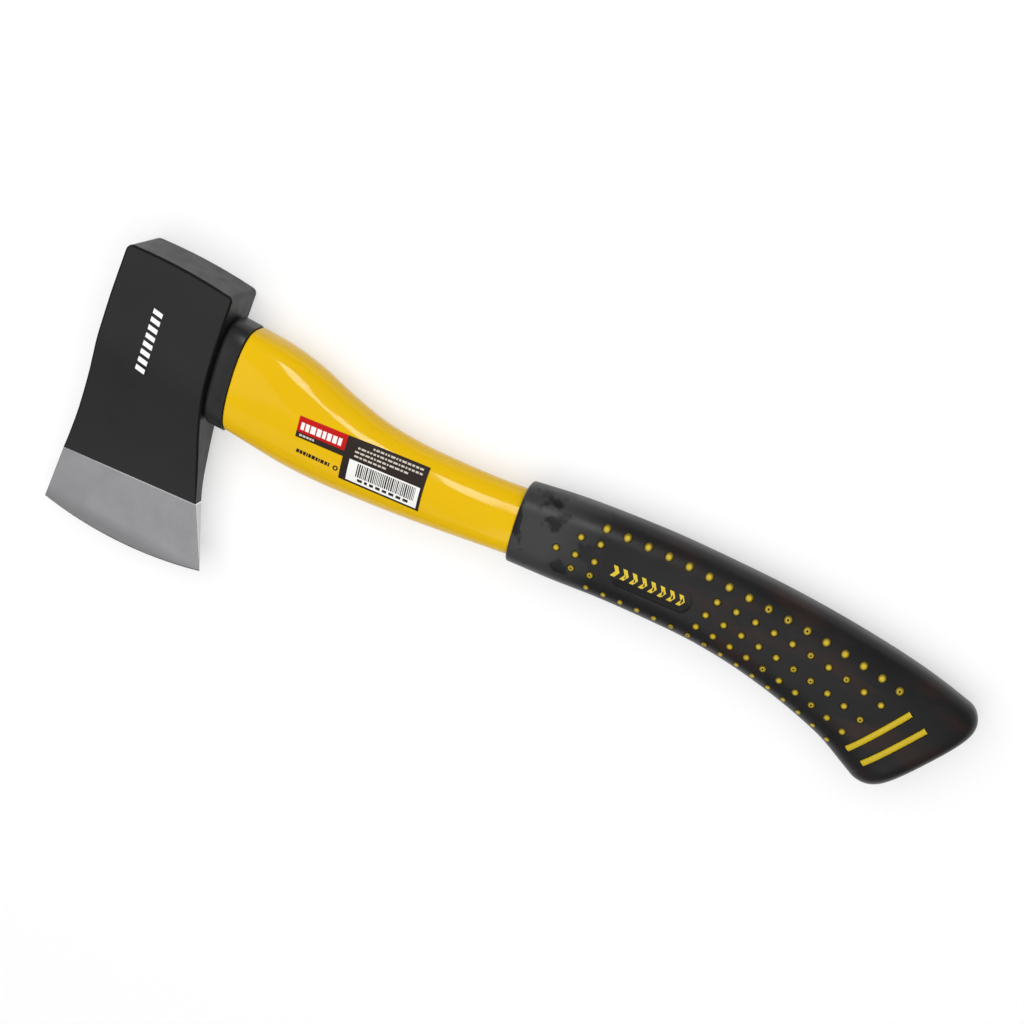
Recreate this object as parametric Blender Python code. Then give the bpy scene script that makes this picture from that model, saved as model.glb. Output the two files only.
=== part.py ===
"""Hatchet: a forged steel head bonded to a two-shot moulded handle with a fibreglass core.

Metres, +Z up. The hatchet lies on its side. The origin is on the lower cheek, under the middle of the eye.
+X runs along the handle from the head to the butt, and +Y points to the poll, so the edge faces -Y.
Lengths below are in millimetres, and turn into metres where a mesh is made.
"""

from math import cos, hypot, pi, radians, sin

import bmesh
import bpy
import numpy as np

MM = 0.001
GAP = 0.3  # clearance kept between pieces that touch

# Head
HEAD_THICK = 25.4
MID = HEAD_THICK / 2  # height of the plane that halves the hatchet
POLL_Y = 31.2  # poll face at its two corners
POLL_CROWN = 1.0  # how much higher the poll is in its middle
POLL_RADII = (3.0, 2.2)  # plan radii of the poll's corners: top side, handle side
HEAD_CHAMFER = 0.9
HEAD_TOP_SIDE = [(-84, -22.9), (-61, -22.0), (-40, -21.8), (-20, -22.0), (-8, -22.5), (10, -23.7),
                 (32, -24.5)]
HEAD_HANDLE_SIDE = [(-80, 48.5), (-53.7, 36.7), (-36.6, 31.5), (-23.6, 28.0), (-12.4, 25.8), (2.7, 23.6),
                    (18.7, 22.3), (32, 21.5)]
HEAD_HALF_THICK = [(-60, 2.9), (-50, 3.3), (-44, 4.0), (-36.6, 5.4), (-30, 6.9), (-23.6, 8.5), (-16, 10.6),
                   (-10, 12.1), (-5, MID), (32, MID)]
BEVEL_TOE_Y, BEVEL_HEEL_Y = -59.8, -54.0  # ends of the line where the ground bevel starts
EDGE_TOE = (-22.7, -83.9)
EDGE_HEEL = (48.3, -79.9)
EDGE_BELLY = 4.0  # how far the curved edge stands out from the line between toe and heel
EDGE_HALF_THICK = 0.15
KNEE_Y = -42.0  # from here to the bevel, the rings across the head turn from level to the bevel's slant
BEVEL_CHAMFER = 0.6
HEAD_ROWS = [20.0, 8.0, -5.0, -8.0, -11.0, -15.0, -19.0, -23.6, -28.0, -32.5, -37.0, KNEE_Y]
HEAD_COLUMNS = [0.0, 0.1, 0.24, 0.38, 0.62, 0.76, 0.9, 1.0]  # shares of the cheek's width
SLANT_SHARES = [0.4, 0.75, 1.0]  # rings from the knee to the bevel
BEVEL_SHARES = [0.35, 0.7, 1.0]  # rings from the bevel's start to the edge

# Eye, through the head along X, and what fills it
EYE_HALF = (16.5, 8.5)
EYE_FLARE = 1.04  # the eye is wider at its top mouth
EYE_CUT_X = (-32.0, 34.0)  # where the eye's cutter starts and ends, outside the head
RESIN_HALF = (16.1, 8.1)
TONGUE_HALF = (14.0, 6.0)
TONGUE_END_X = -18.6
RESIN_END_X = 21.8
CAP_X = (-21.3, -18.9)
CAP_CHAMFER = 0.8
CORE_HALF = (9.6, 3.6)
CORE_START_X = -18.2
CORE_NECK_X = 30.0  # the core runs straight to here, and then follows the handle
CORE_JACKET_KEYS = (48.0, 140.0)
CORE_GRIP_KEYS = (165.0, 300.0)
CAVITY_LEAD = 4.0  # how far the cut for the core starts outside the tongue

# Collar and neck. The joint to the jacket bends: x where it crosses Y = 0, its lean and its bend
JOINT = (32.8, -0.12, 0.003)
JOINT_FADE = 27.0  # the jacket's sections turn straight over this length
COLLAR_HALF = (21.3, 11.2)
COLLAR_ROUND = 1.2
NECK_HALF = (17.6, 8.8)
NECK_Y = 0.8
NECK_POWER = 3.4  # roundness of the neck's section: 2 is an ellipse, and more is squarer

# Handle stations, head to butt: top x, top y, bottom x, bottom y, half thickness
JACKET_STATIONS = [
    (31.4, 21.8, 34.5, -19.7, 11.4),
    (45.0, 21.8, 47.0, -20.7, 11.7),
    (60.0, 19.9, 62.5, -21.7, 11.7),
    (76.0, 15.7, 79.0, -21.1, 11.4),
    (92.0, 12.6, 95.0, -19.4, 11.1),
    (108.0, 12.0, 110.0, -17.5, 10.8),
    (124.0, 13.0, 126.5, -14.9, 10.6),
    (139.0, 14.5, 142.5, -12.0, 10.5),
    (150.0, 16.1, 154.5, -9.9, 10.4),
]
JACKET_POWERS = [(30, NECK_POWER), (60, 2.45), (90, 2.2), (150, 2.2)]  # roundness by key
JACKET_ROUND = 0.7  # rounding of the jacket's edge at the collar
JACKET_LEAD = 6.0  # from the collar to the jacket's first plain section
JACKET_PAST = 3.0  # how far the jacket keeps its own section under the grip
GRIP_STATIONS = [
    (151.4, 19.6, 156.2, -11.7, 11.9),
    (170.0, 23.4, 174.5, -9.8, 12.0),
    (190.0, 26.3, 194.0, -7.2, 12.1),
    (210.0, 28.5, 212.0, -5.6, 12.1),
    (230.0, 29.8, 230.0, -4.6, 12.1),
    (250.0, 30.7, 247.0, -5.2, 12.1),
    (270.0, 30.8, 264.0, -7.3, 12.1),
    (288.0, 30.2, 279.0, -10.3, 12.1),
    (303.0, 29.2, 291.0, -13.6, 12.1),
    (317.0, 27.6, 302.5, -18.6, 12.1),
    (342.1, 23.1, 315.1, -24.3, 12.0),
]
BUTT_RADII = (7.5, 10.0, 5.0)  # top corner, bottom corner and sides
BUTT_BULGE = 1.0
INNER_BUTT_RADII = (5.0, 7.0, 4.0)
SECTION_POWER = 2.6  # roundness of the grip, tongue and eye sections
END_MARGIN = 4.0  # from a rounded end to the nearest plain section
UNDER_GRIP_KEY = 168.0  # from here on the jacket follows the grip's shape
MOUTH_LEAD = 12.0  # how far before the grip the cut for its inside starts
GRIP_WALL = 2.3
BUTT_WALL = 8.0
RIM_ROUND = 0.8  # rounding of the grip's edge towards the head

# Nubs and bars of the jacket that stand through the grip
NUB_COLUMNS = 16
NUB_KEYS = (186.6, 300.3)  # first and last column, as keys along the handle
NUB_FAN = 2.8  # how much further the top of the last column is spread
NUB_BEND = 8.5  # how much the columns in the middle lean
NUB_ROWS = [  # place across the handle at the first column, and later, the share of the way to there, radius
    (0.71, 0.60, 0.55, 1.6),
    (0.36, 0.24, 0.4, 1.4),
    (-0.06, -0.17, 0.6, 1.4),
    (-0.40, -0.54, 0.7, 1.4),
    (-0.74, -0.87, 1.0, 1.2),
]
NUB_FULL_COLUMN = 6  # from this column on, all five rows are filled
NUB_PROUD = 0.5
BARS = [((313.7, 14.5), (300.6, -9.7)), ((321.3, 11.6), (308.0, -11.9))]
BAR_WIDTH = 2.6

# Label on the jacket's upper face: its first corner, its lean, and the two fields as (start, end, height)
LABEL_CORNER = (62.8, 3.1)
LABEL_LEAN = radians(5.6)
LABEL_SHEAR = 0.07  # how far its short sides lean with the distance down
LABEL_FIELDS = [(0.0, 19.9, 8.5), (19.9, 53.2, 17.6)]
LABEL_THICK = 0.2

RING_POINTS = 24
CORE_POINTS = 16
STEP_ALONG = 11.0
CORE_STEP = 18.0


def curve(points, key):
    """The value at key on a smooth curve through (key, value, ...) rows, straight on past its ends."""
    rows = np.array(points, float)
    keys, values = rows[:, 0], rows[:, 1:]
    slopes = np.gradient(values, keys, axis=0)
    i = int(np.clip(np.searchsorted(keys, key) - 1, 0, len(keys) - 2))
    span = keys[i + 1] - keys[i]
    t = (key - keys[i]) / span
    if t < 0:
        return values[0] + slopes[0] * (key - keys[0])
    if t > 1:
        return values[-1] + slopes[-1] * (key - keys[-1])
    return (
        values[i] * (1 + 2 * t) * (1 - t) ** 2
        + slopes[i] * span * t * (1 - t) ** 2
        + values[i + 1] * t * t * (3 - 2 * t)
        - slopes[i + 1] * span * t * t * (1 - t)
    )


def keyed(stations):
    """Handle stations with their mean x as the key."""
    return [((s[0] + s[2]) / 2, *s) for s in stations]


JACKET = keyed(JACKET_STATIONS)
GRIP = keyed(GRIP_STATIONS)
JACKET_END_KEY = JACKET[-1][0] + JACKET_PAST


def unit_section(count, power):
    """Points around a superellipse of half size 1, as (across, out)."""

    def squared(value):
        return np.sign(value) * abs(value) ** (2 / power)

    turns = [2 * pi * i / count for i in range(count)]
    return [(squared(cos(a)), squared(sin(a))) for a in turns]


def ring(station, inset=0.0, power=SECTION_POWER, count=RING_POINTS):
    """A section of the handle at a station row: top x, top y, bottom x, bottom y, half thickness."""
    top, bottom = np.array(station[:2]), np.array(station[2:4])
    middle, half = (top + bottom) / 2, (top - bottom) / 2
    half = half * (1 - inset / hypot(*half))
    return [(*(middle + half * a), MID + (station[4] - inset) * b) for a, b in unit_section(count, power)]


def joint(y):
    """x of the joint between collar and jacket."""
    x, lean, bend = JOINT
    return x + lean * y + bend * y * y


def head_side(y):
    """x of the head's side towards the handle."""
    return curve(HEAD_HANDLE_SIDE, y)[0]


def jacket_ring(key, inset=0.0):
    """A section of the jacket: square at the neck, where it bends with the joint, and round at the grip."""
    points = ring(curve(JACKET, key), inset, power=curve(JACKET_POWERS, key)[0])
    x_top, y_top, x_bottom, y_bottom, _ = JACKET_STATIONS[0]
    lean = (x_top - x_bottom) / (y_top - y_bottom)
    bent = max(0.0, 1 - (key - JACKET[0][0]) / JOINT_FADE)
    return [(x + bent * (joint(y) - x_top - lean * (y - y_top)), y, z) for x, y, z in points]


def upright_ring(x, half, count=RING_POINTS):
    """An oval section of the given half height and half thickness, square to X."""
    return [(x, half[0] * a, MID + half[1] * b) for a, b in unit_section(count, SECTION_POWER)]


def ring_along(side, offset, half, middle=NECK_Y, power=NECK_POWER):
    """A section around the neck whose points follow a side, given as x over y, at an offset from it."""
    points = []
    for a, b in unit_section(RING_POINTS, power):
        y = middle + half[0] * a
        points.append((side(y) + offset, y, MID + half[1] * b))
    return points


def butt_stations(before, end, radii, steps=6):
    """Stations that round off the handle's end with arcs that touch its outline.

    The radii are for the top corner, the bottom corner and the sides.
    """
    before, end = np.array(before), np.array(end)
    middle, half = (end[:2] + end[2:4]) / 2, hypot(*(end[:2] - end[2:4])) / 2
    across = (end[:2] - end[2:4]) / (2 * half)
    along = np.array([across[1], -across[0]])
    top_run, bottom_run = before[:2] - end[:2], before[2:4] - end[2:4]
    top_spread = (top_run @ across) / -(top_run @ along)
    bottom_spread = -(bottom_run @ across) / -(bottom_run @ along)

    def touch(spread, radius):
        return radius * (1 - spread / hypot(1, spread))

    def reach(back, spread, radius):
        if back >= touch(spread, radius):
            return half + spread * back
        centre = half + radius * (spread - hypot(1, spread))
        return centre + (radius**2 - (radius - back) ** 2) ** 0.5

    first = max(touch(top_spread, radii[0]), touch(bottom_spread, radii[1]))
    rounded = []
    for i in range(steps + 1):
        back = first * (1 - sin(pi / 2 * i / steps))
        centre = middle - along * back
        top = centre + across * reach(back, top_spread, radii[0])
        bottom = centre - across * reach(back, bottom_spread, radii[1])
        short = max(0.0, radii[2] - back)
        rounded.append((*top, *bottom, end[4] - radii[2] + (radii[2] ** 2 - short**2) ** 0.5))
    return rounded


def bulged(face, amount):
    """Shrinking stations that close an end face with a low bulge."""
    face = np.array(face)
    middle, span = (face[:2] + face[2:4]) / 2, face[:2] - face[2:4]
    along = np.array([span[1], -span[0]]) / hypot(*span)
    rows = []
    for share in (0.3, 0.7):
        out = along * amount * (2 * share - share**2)
        top, bottom = (middle + side * span / 2 * (1 - share) + out for side in (1, -1))
        rows.append((*top, *bottom, face[4] * (1 - share)))
    return rows


def even_keys(first, last, step=STEP_ALONG):
    """Keys at even steps, about as long as asked, between two keys."""
    return np.linspace(first, last, max(2, round((last - first) / step) + 1))


def stations_between(table, first, last, step=STEP_ALONG):
    """Rows read from the smooth handle at even steps between two keys."""
    return [tuple(curve(table, key)) for key in even_keys(first, last, step)]


def place_on(table, key, across):
    """Plan position and height above the middle plane of a point on the handle's upper face."""
    row = curve(table, key)
    top, bottom = row[:2], row[2:4]
    x, y = (top + bottom) / 2 + (top - bottom) / 2 * across
    return x, y, row[4] * (1 - abs(across) ** SECTION_POWER) ** (1 / SECTION_POWER)


def height_on_jacket(x, y):
    """Height above the middle plane of the jacket's upper face at a plan position."""
    low, high = x - 10, x + 10
    for _ in range(30):
        key = (low + high) / 2
        row = curve(JACKET, key)
        across = (row[:2] - row[2:4]) / hypot(*(row[:2] - row[2:4]))
        ahead = (x - row[0]) * across[1] - (y - row[1]) * across[0]
        low, high = (key, high) if ahead > 0 else (low, key)
    middle = (row[:2] + row[2:4]) / 2
    place = hypot(x - middle[0], y - middle[1]) / (hypot(*(row[:2] - row[2:4])) / 2)
    power = curve(JACKET_POWERS, key)[0]
    return row[4] * (1 - min(place, 1) ** power) ** (1 / power)


def paint(name, colour, roughness, metallic=0.0):
    """A Principled material."""
    material = bpy.data.materials.new(name)
    material.use_nodes = True
    shader = material.node_tree.nodes["Principled BSDF"]
    shader.inputs["Base Color"].default_value = (*colour, 1)
    shader.inputs["Roughness"].default_value = roughness
    shader.inputs["Metallic"].default_value = metallic
    return material


def add_object(name, mesh_data, material=None):
    """An object from a closed bmesh in millimetres, or a hidden cutter if it has no material."""
    bmesh.ops.recalc_face_normals(mesh_data, faces=mesh_data.faces)
    bmesh.ops.scale(mesh_data, vec=(MM, MM, MM), verts=mesh_data.verts)
    mesh = bpy.data.meshes.new(name)
    mesh_data.to_mesh(mesh)
    mesh_data.free()
    mesh.shade_smooth()
    mesh.set_sharp_from_angle(angle=radians(28))
    made = bpy.data.objects.new(name, mesh)
    bpy.context.scene.collection.objects.link(made)
    if material is None:
        made.hide_render = True
        made.display_type = "WIRE"
    else:
        mesh.materials.append(material)
    return made


def loft(rings, closed=False):
    """A closed bmesh through rings of equal length, with flat ends, or joined end to start."""
    shape = bmesh.new()
    loops = [[shape.verts.new(p) for p in points] for points in rings]
    count = len(loops[0])
    pairs = list(zip(loops, loops[1:] + loops[:1], strict=True))
    for one, two in pairs if closed else pairs[:-1]:
        for i in range(count):
            j = (i + 1) % count
            shape.faces.new((one[i], one[j], two[j], two[i]))
    if not closed:
        shape.faces.new(loops[0])
        shape.faces.new(list(reversed(loops[-1])))
    return shape


def add_prism(shape, outline, low, high):
    """Adds an upright prism over a plan outline to a bmesh."""
    floor = [shape.verts.new((x, y, low)) for x, y in outline]
    roof = [shape.verts.new((x, y, high)) for x, y in outline]
    shape.faces.new(list(reversed(floor)))
    shape.faces.new(roof)
    for i in range(len(outline)):
        j = (i + 1) % len(outline)
        shape.faces.new((floor[i], floor[j], roof[j], roof[i]))


def combine(target, tool, operation):
    """Joins or cuts one object with another, hidden one."""
    step = target.modifiers.new(tool.name, "BOOLEAN")
    step.object = tool
    step.operation = operation
    step.solver = "EXACT"


def edge_point(across):
    """A point on the cutting edge, from the toe at 0 to the heel at 1, on a shallow arc."""
    toe, heel = np.array(EDGE_TOE), np.array(EDGE_HEEL)
    chord = heel - toe
    out = np.array([chord[1], -chord[0]]) / hypot(*chord)
    half = hypot(*chord) / 2
    radius = (half**2 + EDGE_BELLY**2) / (2 * EDGE_BELLY)
    along = (2 * across - 1) * half
    return toe + chord * across + out * ((radius**2 - along**2) ** 0.5 - (radius - EDGE_BELLY))


def head_row(left, right, half_thick, chamfer, columns, bow=0.0):
    """A closed ring around the head from its top side to its handle side, bowed in plan by bow."""
    left, right = np.array(left), np.array(right)
    out = (right - left) / hypot(*(right - left)) * chamfer

    def bowed(across):
        x, y = left + out + (right - left - 2 * out) * across
        return x, y + bow * (1 - (2 * across - 1) ** 2)

    plan = [bowed(c) for c in columns]
    low, high = MID - half_thick, MID + half_thick
    return (
        [(*left, low + chamfer), (*left, high - chamfer)]
        + [(*p, high) for p in plan]
        + [(*right, high - chamfer), (*right, low + chamfer)]
        + [(*p, low) for p in reversed(plan)]
    )


def make_head():
    """Poll, cheeks and ground bevel in one forging, with the eye cut through it."""
    rows = []

    def row_at(y_left, y_right, insets=(0.0, 0.0), drop=0.0, chamfer=HEAD_CHAMFER, bow=0.0):
        left = (curve(HEAD_TOP_SIDE, y_left)[0] + insets[0], y_left)
        right = (curve(HEAD_HANDLE_SIDE, y_right)[0] - insets[1], y_right)
        half = min(curve(HEAD_HALF_THICK, (y_left + y_right) / 2)[0], MID) - drop
        rows.append(head_row(left, right, half, chamfer, HEAD_COLUMNS, bow))

    corner_steps = 4
    for i in range(corner_steps + 1):
        turn = pi / 2 * i / corner_steps
        y_left, y_right = (POLL_Y - radius * (1 - cos(turn)) for radius in POLL_RADII)
        insets = [radius * (1 - sin(turn)) for radius in POLL_RADII]
        drop = max(0.0, HEAD_CHAMFER - (POLL_Y - (y_left + y_right) / 2))
        row_at(y_left, y_right, insets=insets, drop=drop, bow=POLL_CROWN * (1 - i / corner_steps))
    for y in HEAD_ROWS:
        row_at(y, y)
    for share in SLANT_SHARES:
        y_left, y_right = (KNEE_Y + share * (y - KNEE_Y) for y in (BEVEL_TOE_Y, BEVEL_HEEL_Y))
        row_at(y_left, y_right, chamfer=HEAD_CHAMFER + share * (BEVEL_CHAMFER - HEAD_CHAMFER))

    bevel_left = np.array([curve(HEAD_TOP_SIDE, BEVEL_TOE_Y)[0], BEVEL_TOE_Y])
    bevel_right = np.array([curve(HEAD_HANDLE_SIDE, BEVEL_HEEL_Y)[0], BEVEL_HEEL_Y])
    start_half = curve(HEAD_HALF_THICK, (BEVEL_TOE_Y + BEVEL_HEEL_Y) / 2)[0]
    for share in BEVEL_SHARES:
        half = start_half + (EDGE_HALF_THICK - start_half) * share
        chamfer = min(BEVEL_CHAMFER, half * 0.4)
        margin = chamfer / hypot(*(bevel_right - bevel_left))

        def bevel_point(across, share=share):
            line = bevel_left + (bevel_right - bevel_left) * across
            return line + (edge_point(across) - line) * share

        low, high = MID - half, MID + half
        inner = [bevel_point(margin + c * (1 - 2 * margin)) for c in HEAD_COLUMNS]
        rows.append(
            [(*bevel_point(0), low + chamfer), (*bevel_point(0), high - chamfer)]
            + [(*p, high) for p in inner]
            + [(*bevel_point(1), high - chamfer), (*bevel_point(1), low + chamfer)]
            + [(*p, low) for p in reversed(inner)]
        )

    shape = bmesh.new()
    loops = [[shape.verts.new(p) for p in row] for row in rows]
    count, wide = len(rows[0]), len(HEAD_COLUMNS)
    for one, two in zip(loops, loops[1:], strict=False):
        for i in range(count):
            j = (i + 1) % count
            shape.faces.new((one[i], one[j], two[j], two[i]))
    for ends in (loops[0], loops[-1]):
        upper, lower = ends[2 : 2 + wide], list(reversed(ends[4 + wide :]))
        shape.faces.new((ends[0], ends[1], upper[0], lower[0]))
        shape.faces.new((upper[-1], ends[2 + wide], ends[3 + wide], lower[-1]))
        for i in range(wide - 1):
            shape.faces.new((upper[i], upper[i + 1], lower[i + 1], lower[i]))
    head = add_object("axe_head", shape, paint("head_lacquer", (0.022, 0.022, 0.024), 0.42, 0.3))

    mouth = [v * EYE_FLARE for v in EYE_HALF]
    eye = loft([upright_ring(EYE_CUT_X[0], mouth), upright_ring(EYE_CUT_X[1], EYE_HALF)])
    combine(head, add_object("eye_cutter", eye), "DIFFERENCE")


def make_eye_filling():
    """The bond around the tongue, and the cap over the eye's top mouth."""
    bore = [v + GAP for v in TONGUE_HALF]
    ends = [TONGUE_END_X, RESIN_END_X]
    resin = [upright_ring(x, RESIN_HALF) for x in ends] + [upright_ring(x, bore) for x in reversed(ends)]
    add_object("eye_resin", loft(resin, closed=True), paint("amber_resin", (0.45, 0.26, 0.08), 0.25))

    bevelled = [v - CAP_CHAMFER for v in RESIN_HALF]
    cap = loft(
        [
            upright_ring(CAP_X[0], bevelled),
            upright_ring(CAP_X[0] + CAP_CHAMFER, RESIN_HALF),
            upright_ring(CAP_X[1], RESIN_HALF),
        ]
    )
    add_object("eye_cap", cap, paint("black_cap", (0.02, 0.02, 0.02), 0.5))


def make_collar():
    """The black ring between the head and the jacket, with a bevelled edge towards the head."""
    slimmer = [v - COLLAR_ROUND for v in COLLAR_HALF]
    bore = [v + GAP for v in NECK_HALF]
    rings = [
        ring_along(head_side, GAP, slimmer),
        ring_along(head_side, GAP + COLLAR_ROUND, COLLAR_HALF),
        ring_along(joint, -GAP, COLLAR_HALF),
        ring_along(joint, -GAP, bore),
        ring_along(head_side, GAP, bore),
    ]
    add_object("neck_collar", loft(rings, closed=True), paint("black_collar", (0.02, 0.02, 0.021), 0.38))


def core_rings(extra=0.0, past_tongue=0.0, past_end=0.0):
    """Sections along the core, from the tongue's end to the far end under the grip."""
    half = [v + extra for v in CORE_HALF]
    ends = (CORE_START_X - past_tongue, CORE_NECK_X)
    rings = [upright_ring(x, half, count=CORE_POINTS) for x in ends]
    rows = stations_between(JACKET, *CORE_JACKET_KEYS, CORE_STEP)
    for row in rows + stations_between(GRIP, *CORE_GRIP_KEYS, CORE_STEP):
        top, bottom = np.array(row[:2]), np.array(row[2:4])
        middle, lean = (top + bottom) / 2, (top - bottom) / hypot(*(top - bottom)) * half[0]
        rings.append(ring((*(middle + lean), *(middle - lean), half[1]), count=CORE_POINTS))
    if past_end:
        rings[-1] = [(x + past_end, y, z) for x, y, z in rings[-1]]
    return rings


def nub_places():
    """(x, y, height, radius) of each nub, on a grid that follows the handle and narrows towards the head."""
    first, last = NUB_KEYS
    places = []
    for column in range(-2, NUB_COLUMNS):
        share = column / (NUB_COLUMNS - 1)
        for row, (across, later, settled, radius) in enumerate(NUB_ROWS):
            outer = row in (0, len(NUB_ROWS) - 1)
            shown = {-2: row == 2, -1: not outer, 0: True}.get(column, outer or column >= NUB_FULL_COLUMN)
            if shown:
                lean = NUB_FAN * share + NUB_BEND * max(0, share) * (1 - share)
                key = first + share * (last - first) + lean * across
                place = across + (later - across) * min(1, max(0, share) / settled)
                x, y, height = place_on(GRIP, key, place)
                places.append((x, y, height, radius))
    return places


def nubs_and_bars(clearance=0.0):
    """Upright prisms for the nubs and bars, wider by clearance, and right through the handle."""
    shape = bmesh.new()
    for x, y, height, radius in nub_places():
        reach = radius + clearance
        outline = [(x + reach * cos(pi / 3 * i), y + reach * sin(pi / 3 * i)) for i in range(6)]
        tall = height + NUB_PROUD + 4 * clearance
        add_prism(shape, outline, MID - tall, MID + tall)
    for start, end in BARS:
        start, end = np.array(start), np.array(end)
        along = (end - start) / hypot(*(end - start))
        side = np.array([-along[1], along[0]]) * (BAR_WIDTH / 2 + clearance)
        start, end = start - along * clearance, end + along * clearance
        tall = GRIP_STATIONS[-2][4] + NUB_PROUD + 4 * clearance
        add_prism(shape, [start - side, end - side, end + side, start + side], MID - tall, MID + tall)
    return shape


def grip_inside(extra):
    """Sections of the jacket where the grip covers it, grown by extra."""
    end_key = GRIP[-1][0] - BUTT_WALL
    rows = stations_between(GRIP, UNDER_GRIP_KEY, end_key - max(INNER_BUTT_RADII) - END_MARGIN)
    rows += butt_stations(rows[-1], curve(GRIP, end_key), INNER_BUTT_RADII, steps=3)
    return [ring(row, inset=GRIP_WALL + GAP - extra) for row in rows]


def make_jacket():
    """The yellow moulding: tongue, neck, body, and the nubs and bars that stand through the grip."""
    rings = [
        upright_ring(TONGUE_END_X, TONGUE_HALF),
        ring_along(head_side, GAP, TONGUE_HALF, middle=0.0, power=SECTION_POWER),
        ring_along(head_side, GAP, NECK_HALF),
        ring_along(joint, 0.0, NECK_HALF),
        jacket_ring(JACKET[0][0], inset=JACKET_ROUND),
        jacket_ring(JACKET[0][0] + JACKET_ROUND),
    ]
    rings += [jacket_ring(key) for key in even_keys(JACKET[0][0] + JACKET_LEAD, JACKET_END_KEY)]
    yellow = paint("yellow_jacket", (0.83, 0.52, 0.012), 0.28)
    jacket = add_object("handle_jacket", loft(rings + grip_inside(0.0)), yellow)
    combine(jacket, add_object("nub_and_bar_posts", nubs_and_bars()), "UNION")
    cavity = loft(core_rings(extra=GAP, past_tongue=CAVITY_LEAD, past_end=GAP))
    combine(jacket, add_object("core_cavity", cavity), "DIFFERENCE")

    add_object("fibreglass_core", loft(core_rings()), paint("glass_fibre", (0.55, 0.58, 0.5), 0.6))


def make_grip():
    """The soft black sleeve, open towards the head, with a hole for each nub and bar."""
    start = GRIP[0][0]
    rows = stations_between(GRIP, start + END_MARGIN, GRIP[-1][0] - max(BUTT_RADII) - END_MARGIN)
    rows += butt_stations(GRIP_STATIONS[-2], GRIP_STATIONS[-1], BUTT_RADII)
    rings = [ring(GRIP_STATIONS[0], inset=RIM_ROUND), ring(curve(GRIP, start + RIM_ROUND))]
    rings += [ring(row) for row in rows + bulged(rows[-1], BUTT_BULGE)]
    grip = add_object("grip_sleeve", loft(rings), paint("soft_black", (0.016, 0.016, 0.017), 0.4))

    before = [jacket_ring(key, inset=-GAP) for key in (start - MOUTH_LEAD, JACKET_END_KEY)]
    combine(grip, add_object("jacket_way", loft(before + grip_inside(GAP))), "DIFFERENCE")
    combine(grip, add_object("nub_and_bar_holes", nubs_and_bars(GAP)), "DIFFERENCE")


def make_label():
    """A thin printed label that follows the jacket's upper face: a low field and a taller one beside it."""
    shape = bmesh.new()
    along = np.array([cos(LABEL_LEAN), sin(LABEL_LEAN)])
    down = np.array([along[1], -along[0]])
    low_field, tall_field = LABEL_FIELDS
    columns = list(np.linspace(low_field[0], low_field[1], 4)) + list(np.linspace(*tall_field[:2], 6))[1:]
    rows = [0.0, low_field[2] / 2, low_field[2], (low_field[2] + tall_field[2]) / 2, tall_field[2]]
    layers = []
    for lift in (GAP, GAP + LABEL_THICK):
        grid = {}
        for i, column in enumerate(columns):
            for j, row in enumerate(rows):
                x, y = np.array(LABEL_CORNER) + along * (column + LABEL_SHEAR * row) + down * row
                if row <= low_field[2] or column >= tall_field[0] - 0.01:
                    grid[i, j] = shape.verts.new((x, y, MID + height_on_jacket(x, y) + lift))
        layers.append(grid)
    under, over = layers
    border = {}
    for i, j in over:
        corners = [(i, j), (i + 1, j), (i + 1, j + 1), (i, j + 1)]
        if all(c in over for c in corners):
            shape.faces.new([over[c] for c in corners])
            shape.faces.new([under[c] for c in reversed(corners)])
            for one, two in zip(corners, corners[1:] + corners[:1], strict=True):
                border[one, two] = border.get((one, two), 0) + 1
    for one, two in border:
        if (two, one) not in border:
            shape.faces.new((over[one], over[two], under[two], under[one]))
    add_object("label", shape, paint("printed_label", (0.1, 0.02, 0.02), 0.4))


for old in list(bpy.data.objects):
    bpy.data.objects.remove(old)
make_head()
make_eye_filling()
make_collar()
make_jacket()
make_grip()
make_label()
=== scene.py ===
"""Looks of the hatchet: fine surfaces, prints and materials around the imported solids.

The row frame is in metres: +X runs from the head to the butt, +Y points to the poll and +Z up.
Shapes below are worked out in millimetres and turn into metres where a mesh is made.
"""

from math import cos, hypot, pi, radians, sin

import bmesh
import bpy
import numpy as np
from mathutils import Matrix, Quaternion, Vector
from mathutils.bvhtree import BVHTree


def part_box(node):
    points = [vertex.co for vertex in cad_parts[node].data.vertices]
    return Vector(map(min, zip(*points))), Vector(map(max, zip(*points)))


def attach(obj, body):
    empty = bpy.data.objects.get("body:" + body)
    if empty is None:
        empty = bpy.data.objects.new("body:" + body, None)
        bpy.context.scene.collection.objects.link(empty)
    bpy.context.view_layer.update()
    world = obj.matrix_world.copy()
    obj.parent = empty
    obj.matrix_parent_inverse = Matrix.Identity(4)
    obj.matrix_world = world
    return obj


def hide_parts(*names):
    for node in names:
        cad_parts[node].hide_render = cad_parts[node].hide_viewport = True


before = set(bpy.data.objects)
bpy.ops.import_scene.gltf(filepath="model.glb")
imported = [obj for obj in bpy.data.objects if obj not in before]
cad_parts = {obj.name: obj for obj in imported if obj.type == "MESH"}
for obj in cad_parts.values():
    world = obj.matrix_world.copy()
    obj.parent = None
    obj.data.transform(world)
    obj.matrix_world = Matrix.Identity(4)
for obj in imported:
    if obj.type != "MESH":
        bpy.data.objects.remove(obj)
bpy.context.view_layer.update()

MM = 0.001
BODY = "root"
SHARP = radians(32)  # faces that meet at a greater angle keep a crisp edge


def box_mm(node):
    """Lowest and highest corner of a CAD node in millimetres."""
    return [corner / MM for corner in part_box(node)]


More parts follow.
